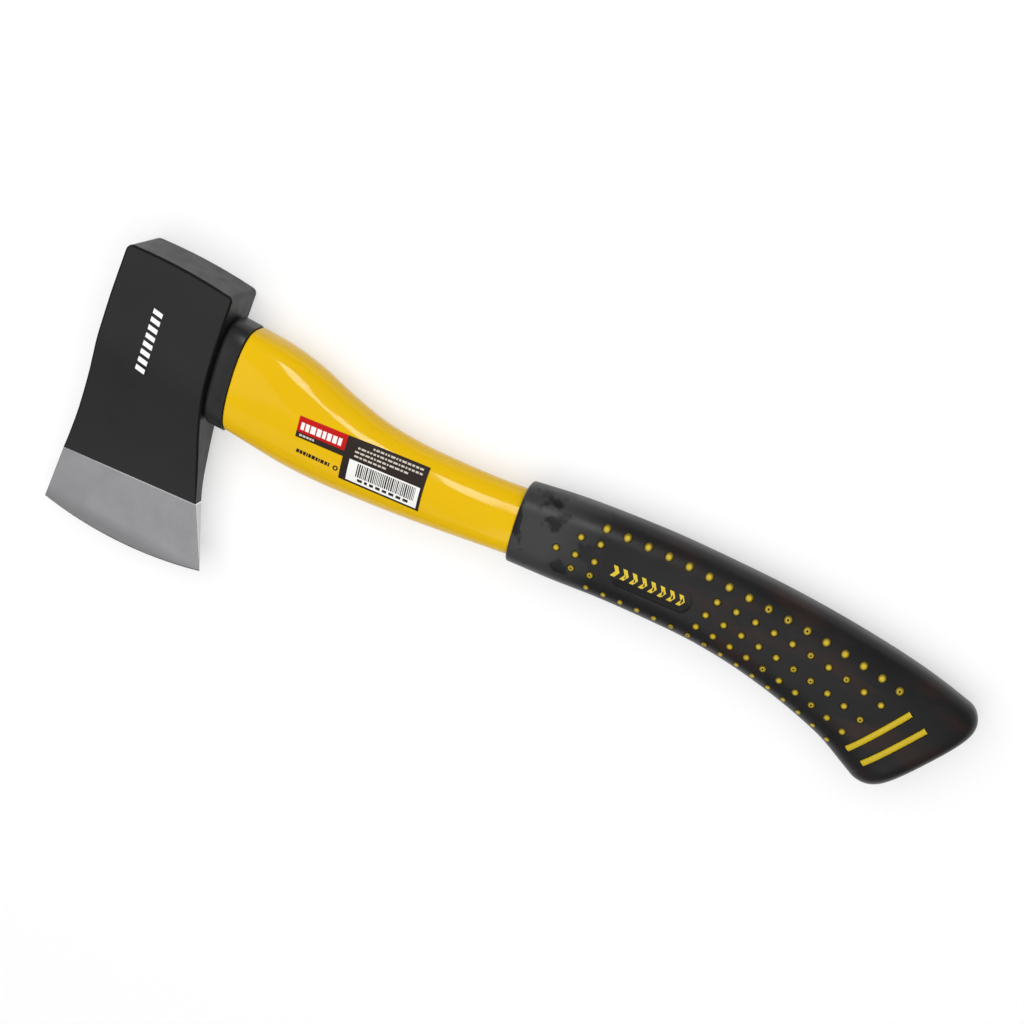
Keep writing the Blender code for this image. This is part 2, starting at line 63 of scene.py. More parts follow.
HEAD_BOX = box_mm("axe_head")
GAP = 0.3  # clearance between pieces that touch
MID = (HEAD_BOX[0].z + HEAD_BOX[1].z) / 2  # height of the plane that halves the hatchet
CHEEK_HALF = (HEAD_BOX[1].z - HEAD_BOX[0].z) / 2

# Head, in plan. Its two sides run as x over y, and its half thickness tapers towards the edge
POLL_CROWN, CROWN_FADE = 1.0, 14.0  # how far the poll bows out, and the depth over which that fades
POLL_Y = HEAD_BOX[1].y - POLL_CROWN
POLL_RADII = (3.0, 2.2)  # plan radius of the poll's corners, on the top side and the handle side
CHEEK_RADIUS = 0.8
CHEEK_THINNING = 0.6  # share of that radius that is lost by the start of the bevel
TOP_SIDE = [(-84, -22.9), (-61, -22.0), (-40, -21.8), (-20, -22.0), (-8, -22.5), (10, -23.7), (32, -24.5)]
HANDLE_SIDE = [(-80, 48.5), (-53.7, 36.7), (-36.6, 31.5), (-23.6, 28.0), (-12.4, 25.8), (2.7, 23.6),
               (18.7, 22.3), (32, 21.5)]
HALF_THICK = [(-60, 2.9), (-50, 3.3), (-44, 4.0), (-36.6, 5.4), (-30, 6.9), (-23.6, 8.5), (-16, 10.6),
              (-10, 12.1), (-5, CHEEK_HALF), (32, CHEEK_HALF)]
KNEE_Y = -42.0  # past it the rings turn from square to Y to the line where the bevel starts
BEVEL_TOE_Y, BEVEL_HEEL_Y = -59.8, -54.0  # where that line meets the top side and the handle side
FACET_SHARE, FACET_DROP = 0.018, 0.12  # facet at the bevel's start: share of the way, lost half thickness
GROUND_SHARE = 0.08
HONE_SHARE, HONE_HALF = 0.975, 0.42  # where the honed edge starts, and the half thickness there
BEVEL_RADIUS, EDGE_RADIUS = 0.35, 0.05
EDGE_TOE = (-22.7, -83.9)
EDGE_HEEL = (48.3, -79.9)
EDGE_BELLY = 4.0
EDGE_HALF_THICK = 0.08
ROUND_STEPS, COLUMNS = 7, 36  # quads around an edge of the head, and across its cheek
FLAT_LEAD = 0.2  # from an edge's rounding to the first column
POLL_ROWS, CHEEK_ROWS, TURN_ROWS, BEVEL_ROWS = 20, 46, 10, 16
POLL_LEAD = 1.5  # from the poll's rounding to the first row of the cheek
# The fourth of these is painted shade on the head's rounded edges.
# The third is polished steel painted brighter, a painted glint on the facet and the edge.
LACQUER, GROUND, HONED_GLINT, LACQUER_EDGE_SHADE = 0, 1, 2, 3  # materials of the head

# Eye, cap, collar and neck, as half height and half thickness of ovals around the handle's axis
EYE_HALF = (16.5, 8.5)
EYE_MOUTH_HALF = (17.2, 8.85)
EYE_LIP = 0.9
EYE_CUT_LEAD, EYE_CUT_END_X = 4.0, 34.0  # how far outside the head its cutter starts, and where it ends
CAP_HALF = (16.1, 8.1)
CAP_ROUND = 0.9
CAP_FACE = [(0, 2.2), (0.35, 2.5), (0.35, 3.1), (0, 3.4), (-0.25, 6.0)]  # depth and inset: groove, crown
TONGUE_HALF = (14.0, 6.0)
NECK_HALF = (17.6, 8.8)
COLLAR_HALF = (21.3, 11.2)
COLLAR_ROUNDS = (2.0, 0.45)  # towards the head and towards the jacket
NECK_Y = 0.8
AROUND, EYE_AROUND = 128, 96  # points of a section of the handle, and of one of the eye
JOINT = (32.8, -0.12, 0.003)  # of collar and jacket: x where it crosses Y = 0, its lean and its bend
JOINT_FADE = 27.0  # the jacket's sections turn straight over this length

# Handle stations, head to butt: top x, top y, bottom x, bottom y, half thickness
JACKET_STATIONS = [
    (31.4, 21.8, 34.5, -19.7, 11.4),
    (45.0, 21.8, 47.0, -20.7, 11.7),
    (60.0, 19.9, 62.5, -21.7, 11.7),
    (76.0, 15.7, 79.0, -21.1, 11.4),
    (92.0, 12.6, 95.0, -19.4, 11.1),
    (108.0, 12.0, 110.0, -17.5, 10.8),
    (124.0, 13.0, 126.5, -14.9, 10.6),
    (139.0, 14.5, 142.5, -12.0, 10.5),
    (150.0, 16.1, 154.5, -9.9, 10.4),
]
GRIP_STATIONS = [
    (151.4, 19.6, 156.2, -11.7, 11.9),
    (170.0, 23.4, 174.5, -9.8, 12.0),
    (190.0, 26.3, 194.0, -7.2, 12.1),
    (210.0, 28.5, 212.0, -5.6, 12.1),
    (230.0, 29.8, 230.0, -4.6, 12.1),
    (250.0, 30.7, 247.0, -5.2, 12.1),
    (270.0, 30.8, 264.0, -7.3, 12.1),
    (288.0, 30.2, 279.0, -10.3, 12.1),
    (303.0, 29.2, 291.0, -13.6, 12.1),
    (317.0, 27.6, 302.5, -18.6, 12.1),
    (342.1, 23.1, 315.1, -24.3, 12.0),
]
BUTT_RADII = (7.5, 10.0, 5.0)  # top corner, bottom corner and sides
BUTT_BULGE = 1.0
INNER_BUTT_RADII = (5.0, 7.0, 4.0)
SECTION_POWER = 2.6
NECK_POWER = 3.4
JACKET_POWERS = [(30, NECK_POWER), (60, 2.45), (90, 2.2), (150, 2.2)]  # boxy at the neck, then rounder
SINK, SINK_KEYS = 0.16, (115, 150)  # how far the shoulder sinks, and between which keys
GRIP_WALL = 2.3
BUTT_WALL = 8.0
RIM_ROUND, LIP_ROUND = 1.1, 0.7  # rounding of the grip's mouth, and of the jacket beside the collar
JACKET_LEAD, JACKET_PAST, JACKET_ROWS = 2, 3, 110  # its rows start and end this far past its stations
GRIP_LEAD, GRIP_END_LEAD, GRIP_ROWS = 1.8, 14, 220  # and those of the grip this far within its own
INNER_LEAD, INNER_END_LEAD, INNER_ROWS = 4, 8, 25
BUTT_LEAD = 1.02
BULGE_SHARES = np.linspace(0.12, 0.92, 7)

# Nubs and bars of the yellow moulding that stand through the grip
NUB_COLUMNS = 16
NUB_KEYS = (186.6, 300.3)
NUB_FAN = 2.8
NUB_BEND = 8.5
NUB_ROWS = [  # place across the grip at the first column, and later, the share of the way to there, radius
    (0.71, 0.60, 0.55, 1.6),
    (0.36, 0.24, 0.4, 1.4),
    (-0.06, -0.17, 0.6, 1.4),
    (-0.40, -0.54, 0.7, 1.4),
    (-0.74, -0.87, 1.0, 1.2),
]
NUB_FULL_COLUMN = 6
NUB_PROUD, NUB_ROOT = 0.5, 2.9
# Rim, pit and flank are painted shade: darker copies of the nubs' yellow on the dome's sides, near-black in
# deep pits.
NUB_TIP, NUB_RIM_SHADE, NUB_PIT_SHADE, NUB_FLANK_SHADE = 0, 1, 2, 3  # materials of a nub
PIT_SHALLOW, PIT_DEEP = 0.05, 0.35
PIT_CHANCE, PIT_SEED = 0.35, 4
SPOKES, DOME_BANDS = 24, 7
HOLE_GAP, HOLE_FLARE, HOLE_PAST = 0.1, 0.28, 0.8  # around a nub, at the mouth, past the grip's wall
BARS = [((313.7, 14.5), (300.6, -9.7)), ((321.3, 11.6), (308.0, -11.9))]
BAR_WIDTH, BAR_GAP, BAR_ROWS = 2.6, 0.12, 15
BAR_ROUND = [(-1, -NUB_ROOT), (-1, 0.0), (-0.87, 0.32), (-0.6, 0.56), (-0.3, 0.68)]  # as (across, rise)
BAR_CROWN, BAR_TOP = 0.72, 0.9  # height of its middle, and how far across its top goes
SLOT_MOUTH = [(-1, -0.15), (-1.22, 0.8)]

# Oval pad on the grip that carries the yellow mark: the two ends of its middle line, and its half height
PAD_LINE = ((199.0, 8.2), (220.6, 10.5))
PAD_HALF = 5.3
PAD_DEPTH, PAD_LEAST = 0.9, 0.2  # the depth, and the share of it on the shallow side
PAD_SHARES = (1.12, 1.0, 0.93, 0.82, 0.7, 0.5, 0.3, 0.1)  # of the pad's size, for its cutter's rings
PAD_TURNS, PAD_CLEAR = 24, 4.0
PAD_DEEP_WAY = radians(-62)

# Label on the jacket: its corner, its lean, and its fields as (start, end, top, bottom)
LABEL_CORNER = (62.85, 3.1)
LABEL_LEAN = radians(5.6)
LABEL_SHEAR = 0.07  # how far its short sides lean with the distance down
LABEL_RED = (0.0, 19.9, 0.2, 6.3)
LABEL_BAND = (0.0, 19.9, 6.3, 8.5)
LABEL_DARK = (19.9, 53.2, 0.2, 17.6)
LABEL_PANEL = (22.8, 52.0, 8.3, 16.8)
LABEL_SUNK, LABEL_LIFT = 0.05, 0.22  # how high its film starts and ends over the jacket
PANEL_LIFT, INK_LIFT = 0.02, 0.03

# Rows of printed blocks as field, least and greatest width, gap and seed
LABEL_BLOCKS = [((1.3, 18.9, 2.3, 5.2), (1.3, 2.2), 0.55, 3)]
LABEL_LINES = [((1.4, 8.0, 6.9, 7.7), (0.7, 1.3), 0.3, 5)] + [
    ((start, end, 1.3 + 1.65 * row, 2.0 + 1.65 * row), (0.6, 1.9), 0.45, 11 + row)
    for row, (start, end) in enumerate([(30.5, 51.8), (24.8, 51.8), (24.0, 46.0), (24.2, 38.0)])
]
LABEL_BARS = [
    ((26.4, 50.8, 8.9, 14.2), (0.18, 0.62), 0.34, 7),
    ((27.5, 49.8, 14.8, 15.9), (0.8, 2.2), 0.9, 9),
]
PRINT_PLACE = ((66.6, -9.9), radians(4.0))
PRINT_LINE = [((0, 14.2, -0.3, 1.2), (0.5, 1.4), 0.3, 21)]
PRINT_RING = (16.6, 0.6, 0.52, 1.08)  # place along and down the printed line, inner and outer radius
PRINT_SUNK, PRINT_LIFT = -0.05, 0.04

# Marks as corner, turn, number, pitch and the outline of one shape
BLOCK_WIDE = 26.6 / 8 * 0.58
CHEEK_MARK = ((-3.4, -13.0), radians(94.2), 8, 26.6 / 8,
              [(0, 4.1), (BLOCK_WIDE, 4.1), (BLOCK_WIDE + 0.9, 0), (0.9, 0)])
GRIP_MARK = ((193.6, 10.6), radians(4.6), 8, 3.75,
             [(0, 0), (1.7, 0), (3.0, 2.2), (1.7, 4.4), (0, 4.4), (1.3, 2.2)])


# ------------ shapes


def through(points):
    """A smooth curve through (key, value, ...) rows, as a function of the key, straight on past its ends."""
    rows = np.array(points, float)
    keys, values = rows[:, 0], rows[:, 1:]
    slopes = np.gradient(values, keys, axis=0)

    def at(key):
        i = int(np.clip(np.searchsorted(keys, key) - 1, 0, len(keys) - 2))
        span = keys[i + 1] - keys[i]
        t = (key - keys[i]) / span
        if t < 0:
            return values[0] + slopes[0] * (key - keys[0])
        if t > 1:
            return values[-1] + slopes[-1] * (key - keys[-1])
        return (
            values[i] * (1 + 2 * t) * (1 - t) ** 2
            + slopes[i] * span * t * (1 - t) ** 2
            + values[i + 1] * t * t * (3 - 2 * t)
            - slopes[i + 1] * span * t * t * (1 - t)
        )

    return at


def through_one(points):
    """The same for (key, value) rows, with a plain number as its result."""
    curve = through(points)
    return lambda key: curve(key)[0]


def keyed(stations):
    """Handle stations with their mean x as the key."""
    return [((s[0] + s[2]) / 2, *s) for s in stations]


JACKET = keyed(JACKET_STATIONS)
GRIP = keyed(GRIP_STATIONS)
jacket_at = through(JACKET)
grip_at = through(GRIP)
top_side = through_one(TOP_SIDE)
handle_side = through_one(HANDLE_SIDE)
half_thick = through_one(HALF_THICK)
jacket_power = through_one(JACKET_POWERS)


def smooth_step(value, start, end):
    """0 before start, 1 past end and an S-curve between them."""
    t = np.clip((value - start) / (end - start), 0, 1)
    return t * t * (3 - 2 * t)


def unit_section(count, power):
    """Points around a superellipse of half size 1, as (across, out)."""

    def squared(value):
        return np.sign(value) * abs(value) ** (2 / power)

    turns = [2 * pi * i / count for i in range(count)]
    return [(squared(cos(a)), squared(sin(a))) for a in turns]


def ring(station, inset=0.0, power=SECTION_POWER, skew=0.0):
    """A section of the handle. With skew, its widest place moves towards the bottom edge."""
    top, bottom = np.array(station[:2]), np.array(station[2:4])
    middle, half = (top + bottom) / 2, (top - bottom) / 2
    half = half * (1 - inset / hypot(*half))
    return [
        (*(middle + half * (a - skew * (1 - a * a))), MID + (station[4] - inset) * b)
        for a, b in unit_section(AROUND, power)
    ]


def joint(y):
    """x of the joint between collar and jacket."""
    x, lean, bend = JOINT
    return x + lean * y + bend * y * y


def ring_along(side, offset, half, middle=NECK_Y, power=NECK_POWER, count=AROUND):
    """An oval section whose points follow a side, given as x over y, at an offset from it."""
    points = []
    for a, b in unit_section(count, power):
        y = middle + half[0] * a
        points.append((side(y) + offset, y, MID + half[1] * b))
    return points


def upright_ring(x, half, count=AROUND):
    """An oval section of the given half height and half thickness, square to X."""
    return ring_along(lambda y: x, 0.0, half, 0.0, SECTION_POWER, count)


def quarter(steps):
    """Steps of a quarter round, as (how far back, how far in) from its corner, for a radius of 1."""
    return [(1 - sin(pi / 2 * i / steps), 1 - cos(pi / 2 * i / steps)) for i in range(steps + 1)]


def butt_stations(before, end, radii, steps=12):
    """Stations that round off the handle's end with arcs that touch its outline, and end in a low bulge."""
    before, end = np.array(before), np.array(end)
    middle, half = (end[:2] + end[2:4]) / 2, hypot(*(end[:2] - end[2:4])) / 2
    across = (end[:2] - end[2:4]) / (2 * half)
    along = np.array([across[1], -across[0]])
    spreads = []  # of the top and the bottom outline, for each millimetre back from the end
    for side, run in ((1, before[:2] - end[:2]), (-1, before[2:4] - end[2:4])):
        spreads.append(side * (run @ across) / -(run @ along))

    def reach(back, spread, radius):
        tilt = hypot(1, spread)
        if back >= radius * (1 - spread / tilt):
            return half + spread * back
        return half + radius * (spread - tilt) + (radius**2 - (radius - back) ** 2) ** 0.5

    first = BUTT_LEAD * max(r * (1 - s / hypot(1, s)) for r, s in zip(radii, spreads, strict=False))
    rounded = []
    for share, _ in quarter(steps):
        back = first * share
        centre = middle - along * back
        sides = zip((1, -1), spreads, radii, strict=False)
        top, bottom = (centre + side * across * reach(back, s, r) for side, s, r in sides)
        side_back = max(0.0, radii[2] - back)
        rounded.append((*top, *bottom, end[4] - radii[2] + (radii[2] ** 2 - side_back**2) ** 0.5))
    face = np.array(rounded[-1])
    for share in BULGE_SHARES:
        out = along * BUTT_BULGE * (2 * share - share**2)
        top = middle + (face[:2] - middle) * (1 - share) + out
        bottom = middle + (face[2:4] - middle) * (1 - share) + out
        rounded.append((*top, *bottom, face[4] * (1 - share)))
    return rounded


def add_band(shape, one, two, tints=None):
    """Joins two loops of equal length with quads, and may give each its material."""
    for i in range(len(one)):
        j = (i + 1) % len(one)
        face = shape.faces.new((one[i], one[j], two[j], two[i]))
        if tints:
            face.material_index = tints[i]


def loft(rings, closed=False, shape=None):
    """A bmesh through rings of equal length, with flat ends or joined end to start. May add to a bmesh."""
    shape = bmesh.new() if shape is None else shape
    loops = [[shape.verts.new(p) for p in points] for points in rings]
    pairs = list(zip(loops, loops[1:] + loops[:1], strict=True))
    for one, two in pairs if closed else pairs[:-1]:
        add_band(shape, one, two)
    if not closed:
        shape.faces.new(loops[0])
        shape.faces.new(list(reversed(loops[-1])))
    return shape


def add_prism(shape, outline, low, high):
    """Adds a prism over a plan outline to a bmesh; low and high are heights or functions of (x, y)."""
    heights = [h if callable(h) else (lambda x, y, h=h: h) for h in (low, high)]
    floor, roof = ([shape.verts.new((x, y, h(x, y))) for x, y in outline] for h in heights)
    shape.faces.new(list(reversed(floor)))
    shape.faces.new(roof)
    add_band(shape, floor, roof)


def make_object(name, shape, materials):
    """An object from a closed bmesh in millimetres."""
    bmesh.ops.recalc_face_normals(shape, faces=shape.faces)
    bmesh.ops.scale(shape, vec=(MM, MM, MM), verts=shape.verts)
    mesh = bpy.data.meshes.new(name)
    shape.to_mesh(mesh)
    shape.free()
    mesh.shade_smooth()
    mesh.set_sharp_from_angle(angle=SHARP)
    for material in materials:
        mesh.materials.append(material)
    made = bpy.data.objects.new(name, mesh)
    bpy.context.scene.collection.objects.link(made)
    return made


def cut(target, tool):
    """Cuts one object with another, and keeps only the result."""
    step = target.modifiers.new("cut", "BOOLEAN")
    step.object = tool
    step.solver = "EXACT"
    result = bpy.data.meshes.new_from_object(target.evaluated_get(bpy.context.evaluated_depsgraph_get()))
    target.modifiers.clear()
    bare = target.data
    target.data = result
    result.name = bare.name
    bpy.data.meshes.remove(bare)
    bpy.data.objects.remove(tool)
    result.shade_smooth()
    result.set_sharp_from_angle(angle=SHARP)


def add_piece(name, shape, materials, slot, *nodes):
    """An object that rides on the hatchet's one body and may stand for CAD nodes; slot is not used."""
    piece = make_object(name, shape, materials)
    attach(piece, BODY)
    if nodes:
        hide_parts(*nodes)
    return piece


def surface_of(piece):
    """A function that gives the height of a piece's upper face, in millimetres, over a plan point."""
    points = [v.co for v in piece.data.vertices]
    tree = BVHTree.FromPolygons(points, [p.vertices for p in piece.data.polygons])
    above = 0.1  # in metres, over every piece

    def height(x, y):
        hit = tree.ray_cast(Vector((x * MM, y * MM, above)), Vector((0, 0, -1)))[0]
        return hit.z / MM if hit else None

    return height


# ------------ materials


MIX_ONE, MIX_TWO, MIX_RESULT = 6, 7, 2  # the colour sockets of a Mix node


class Paint:
    """A Principled material and the few nodes that its looks are mixed from."""

    def __init__(self, name, **inputs):
        self.material = bpy.data.materials.new(name)
        self.material.use_nodes = True
        self.tree = self.material.node_tree
        self.shader = self.tree.nodes["Principled BSDF"]
        self.place = self.node("TexCoord", "Object", {})
        for key, value in inputs.items():
            self.shader.inputs[key.replace("_", " ")].default_value = value

    def link(self, source, target):
        """Feeds an input from a socket, a number or a colour."""
        if isinstance(source, bpy.types.NodeSocket):
            self.tree.links.new(source, target)
        else:
            target.default_value = (*source, 1) if target.type == "RGBA" else source

    def node(self, kind, output, inputs, **settings):
        """Adds a node, sets it up, feeds its inputs and gives one of its outputs."""
        node = self.tree.nodes.new("ShaderNode" + kind)
        for name, value in settings.items():
            setattr(node, name, value)
        for name, value in inputs.items():
            self.link(value, node.inputs[name])
        return node.outputs[output]

    def stretched(self, scale, turn=0.0):
        """Object coordinates, turned about Z and stretched."""
        inputs = {"Scale": scale, "Rotation": (0, 0, turn), "Vector": self.place}
        return self.node("Mapping", "Vector", inputs)

    def noise(self, size, detail, place=None, rough=0.5):
        """Noise between 0 and 1 with features of about size millimetres."""
        inputs = {"Scale": 1 / (size * MM), "Detail": detail, "Roughness": rough}
        return self.node("TexNoise", "Fac", {**inputs, "Vector": place or self.place})

    def specks(self, size, reach):
        """Small round specks, 1 at their centres: cells of size millimetres, specks of reach of a cell."""
        cells = self.node("TexVoronoi", "Distance", {"Scale": 1 / (size * MM), "Vector": self.place})
        return self.spread(cells, (0.0, reach), (1, 0))

    def spread(self, source, before, after):
        """A value moved from one range to another, clamped."""
        ends = dict(zip(("From Min", "From Max", "To Min", "To Max"), (*before, *after), strict=True))
        return self.node("MapRange", "Result", {**ends, "Value": source})

    def mottle(self, source, rough):
        """A roughness that follows a noise between two values."""
        return self.spread(source, (0.3, 0.7), rough)

    def blend(self, share, one, two):
        """Two colours mixed by a share."""
        return self.node("Mix", MIX_RESULT, {"Factor": share, MIX_ONE: one, MIX_TWO: two}, data_type="RGBA")

    def times(self, one, two):
        """The product of two values."""
        return self.node("Math", 0, {0: one, 1: two}, operation="MULTIPLY")

    def axis(self, index):
        """One object coordinate, in metres."""
        return self.node("SeparateXYZ", index, {0: self.place})

    def finish(self, colour, roughness, *bumps):
        """Connects colour, roughness and bumps given as (height, strength, distance in millimetres)."""
        self.link(colour, self.shader.inputs["Base Color"])
        self.link(roughness, self.shader.inputs["Roughness"])
        before = {}
        for height, strength, distance in bumps:
            inputs = {"Strength": strength, "Distance": distance * MM, "Height": height, **before}
            before = {"Normal": self.node("Bump", "Normal", inputs)}
        self.link(before["Normal"], self.shader.inputs["Normal"])
        return self.material


def paint_lacquer():
    """Satin black lacquer with a fine orange peel and faint handling marks."""
    paint = Paint("satin_black_lacquer", Specular_IOR_Level=0.25)
    cloudy = paint.noise(22, 3)
    strokes = paint.noise(1.2, 5, paint.stretched((1, 0.06, 1), radians(24)))
    rubbed = paint.spread(strokes, (0.66, 0.8), (0, 0.4))
    tone = paint.blend(cloudy, (0.0135, 0.0135, 0.014), (0.0195, 0.0195, 0.02))
    return paint.finish(
        paint.blend(rubbed, tone, (0.035, 0.035, 0.036)),
        paint.mottle(paint.noise(6, 4), (0.36, 0.46)),
        (paint.noise(0.9, 2), 0.08, 0.08),
    )


def paint_lacquer_edge_shade():
    """Painted shade: darker, duller lacquer on the rounded edges, standing in for their dark reflections,
    with small chips of primer.
    """
    paint = Paint("lacquer_edges_painted_shade", Specular_IOR_Level=0.12)
    chips = paint.spread(paint.noise(1.6, 4), (0.66, 0.72), (0, 1))
    tone = paint.blend(paint.noise(12, 3), (0.004, 0.004, 0.004), (0.008, 0.008, 0.0085))
    return paint.finish(
        paint.blend(chips, tone, (0.02, 0.02, 0.021)),
        paint.mottle(paint.noise(6, 4), (0.42, 0.55)),
        (chips, 0.1, 0.03),
    )


def paint_ground_steel():
    """Belt-ground steel, with lines that run from the edge up the bevel."""
    paint = Paint("ground_steel", Metallic=1.0)
    lines = paint.noise(0.45, 4, paint.stretched((1, 0.03, 1), radians(-4)), 0.6)
    blotch = paint.noise(9, 4)
    tone = paint.blend(lines, (0.50, 0.50, 0.51), (0.66, 0.66, 0.67))
    # Painted shade: the steel's colour darkens towards the cutting edge.
    painted_shade_near_edge = paint.spread(paint.axis(1), (-0.0775, -0.083), (0, 0.75))
    tone = paint.blend(painted_shade_near_edge, tone, (0.36, 0.36, 0.365))
    return paint.finish(
        paint.blend(paint.spread(blotch, (0.35, 0.7), (0, 0.35)), tone, (0.42, 0.42, 0.43)),
        paint.mottle(lines, (0.3, 0.42)),
        (lines, 0.25, 0.06),
        (paint.noise(0.35, 3), 0.2, 0.04),
    )


def paint_honed_steel_glint():
    """The facet along the bevel's start and the honed edge: polished steel, smoother than the bevel, and also
    painted brighter as a painted glint.
    """
    paint = Paint("honed_steel_painted_glint", Metallic=1.0)
    lines = paint.noise(0.3, 3, paint.stretched((1, 0.1, 1)))
    return paint.finish(
        paint.blend(lines, (0.74, 0.74, 0.75), (0.86, 0.86, 0.87)), paint.mottle(lines, (0.2, 0.3)),
        (lines, 0.15, 0.03),
    )


def paint_collar():
    """Satin black moulded plastic."""
    paint = Paint("black_moulded_plastic", Specular_IOR_Level=0.32)
    flow = paint.noise(14, 3, paint.stretched((1, 0.4, 1)))
    return paint.finish(
        paint.blend(flow, (0.012, 0.012, 0.0125), (0.02, 0.02, 0.021)),
        paint.mottle(paint.noise(3, 4), (0.26, 0.36)),
        (paint.noise(0.5, 2), 0.06, 0.05),
    )


def paint_yellow(name, light, deep, rough):
    """Glossy moulded polypropylene, a little deeper in tone in places, with a few dust specks."""
    paint = Paint(name, Specular_IOR_Level=0.22)
    cloud = paint.spread(paint.noise(28, 3), (0.3, 0.75), (0, 0.5))
    dust = paint.spread(paint.times(paint.specks(7.5, 0.03), paint.noise(31, 1)), (0.3, 0.5), (0, 0.5))
    tone = paint.blend(cloud, light, deep)
    return paint.finish(
        paint.blend(dust, tone, (0.35, 0.16, 0.02)),
        paint.mottle(paint.noise(5, 4), rough),
        (paint.noise(16, 2), 0.12, 0.12),
        (paint.noise(0.6, 2), 0.03, 0.03),
    )


def paint_grip():
    """Semi-gloss soft rubber: lighter patches near the mouth painted as reflection, flow marks of a brown
    tint and fine specks.
    """
    paint = Paint("soft_black_rubber", Specular_IOR_Level=0.21)
    flow = paint.noise(9, 3, paint.stretched((0.35, 1, 1), radians(-12)))
    away_from_mouth = paint.spread(paint.axis(0), (0.175, 0.2), (0, 1))
    brown = paint.times(paint.spread(flow, (0.5, 0.68), (0, 0.5)), away_from_mouth)
    tone = paint.blend(paint.noise(20, 3), (0.009, 0.009, 0.0095), (0.014, 0.014, 0.0145))
    # Painted reflection: lighter patches in the rubber's colour near the grip's mouth.
    patches = paint.spread(paint.noise(15, 4), (0.46, 0.5), (0, 1))
    painted_reflection = paint.times(patches, paint.spread(paint.axis(0), (0.19, 0.168), (0, 0.9)))
    tone = paint.blend(painted_reflection, tone, (0.042, 0.042, 0.043))
    grime = paint.spread(paint.specks(4.5, 0.05), (0, 1), (0, 0.5))
    return paint.finish(
        paint.blend(grime, paint.blend(brown, tone, (0.036, 0.016, 0.011)), (0.004, 0.004, 0.004)),
        paint.mottle(paint.noise(17, 2), (0.27, 0.38)),
        (paint.noise(24, 2), 0.2, 0.3),
        (paint.noise(0.4, 2), 0.05, 0.04),
    )


def paint_film(name, one, two, rough=(0.4, 0.5), specular=0.12, grain=(1.1, 4), bump=(0.05, 0.02)):
    """Film, ink or plain plastic in one tone, slightly mottled."""
    paint = Paint(name, Specular_IOR_Level=specular)
    grain = paint.noise(*grain)
    return paint.finish(paint.blend(grain, one, two), paint.mottle(grain, rough), (grain, *bump))


def paint_cap():
    """Matt black moulded cap."""
    black = ((0.012, 0.012, 0.012), (0.024, 0.024, 0.024))
    return paint_film("matt_black_cap", *black, (0.45, 0.6), 0.5, grain=(0.7, 3), bump=(0.2, 0.06))


def paint_resin():
    """Cast amber epoxy with clouds and small bubbles."""
    paint = Paint("amber_epoxy", Transmission_Weight=0.25, IOR=1.54)
    bubbles = paint.specks(1.4, 0.16)
    tone = paint.blend(paint.noise(6, 3), (0.36, 0.19, 0.05), (0.52, 0.31, 0.1))
    return paint.finish(
        paint.blend(bubbles, tone, (0.7, 0.5, 0.25)), paint.mottle(paint.noise(3, 2), (0.15, 0.3)),
        (bubbles, 0.3, 0.1),
    )


def paint_fibre():
    """Pultruded glass fibre: strands along the handle in pale resin."""
    paint = Paint("glass_fibre_rod")
    strands = paint.noise(0.5, 4, paint.stretched((0.03, 1, 1)))
    tone = paint.blend(strands, (0.42, 0.46, 0.36), (0.68, 0.7, 0.6))
    return paint.finish(tone, paint.mottle(strands, (0.4, 0.65)), (strands, 0.4, 0.1))


# ------------ head


def edge_point(across):
    """A point on the cutting edge, from the toe at 0 to the heel at 1, on a shallow arc."""
    toe, heel = np.array(EDGE_TOE), np.array(EDGE_HEEL)
    chord = heel - toe
    out = np.array([chord[1], -chord[0]]) / hypot(*chord)
    half = hypot(*chord) / 2
    radius = (half**2 + EDGE_BELLY**2) / (2 * EDGE_BELLY)
    along = (2 * across - 1) * half
    return toe + chord * across + out * ((radius**2 - along**2) ** 0.5 - (radius - EDGE_BELLY))


def head_ring(place, width, half, radius):
    """A closed ring around the head: place(s) gives the plan point at s millimetres from the top side."""
    radius = min(radius, half * 0.9)
    turns = [pi / 2 * i / ROUND_STEPS for i in range(ROUND_STEPS + 1)]
    corner = [(radius - radius * cos(a), half - radius + radius * sin(a)) for a in turns]
    inner = radius + FLAT_LEAD
    flat = [(inner + (width - 2 * inner) * i / COLUMNS, half) for i in range(COLUMNS + 1)]
    upper = corner + flat + [(width - s, z) for s, z in reversed(corner)]
    whole = upper + [(s, -z) for s, z in reversed(upper)]
    return [(*place(s), MID + z) for s, z in whole]


def body_ring(y_left, y_right, insets=(0.0, 0.0), drop=0.0, radius=CHEEK_RADIUS, bow=0.0):
    """A ring across the poll, the cheeks or the blade above the bevel."""
    left = np.array([top_side(y_left) + insets[0], y_left])
    right = np.array([handle_side(y_right) - insets[1], y_right])
    width = hypot(*(right - left))

    def place(s):
        x, y = left + (right - left) * s / width
        return x, y + bow * (1 - (2 * s / width - 1) ** 2)

    half = min(half_thick((y_left + y_right) / 2), CHEEK_HALF) - drop
    return head_ring(place, width, half, radius)


def bevel_ring(share, half, radius):
    """A ring across the ground bevel, at a share of the way from its start to the cutting edge."""
    left = np.array([top_side(BEVEL_TOE_Y), BEVEL_TOE_Y])
    right = np.array([handle_side(BEVEL_HEEL_Y), BEVEL_HEEL_Y])

    def point(across):
        start = left + (right - left) * across
        return start + (edge_point(across) - start) * share

    width = hypot(*(point(1) - point(0)))
    return head_ring(lambda s: point(s / width), width, half, radius)


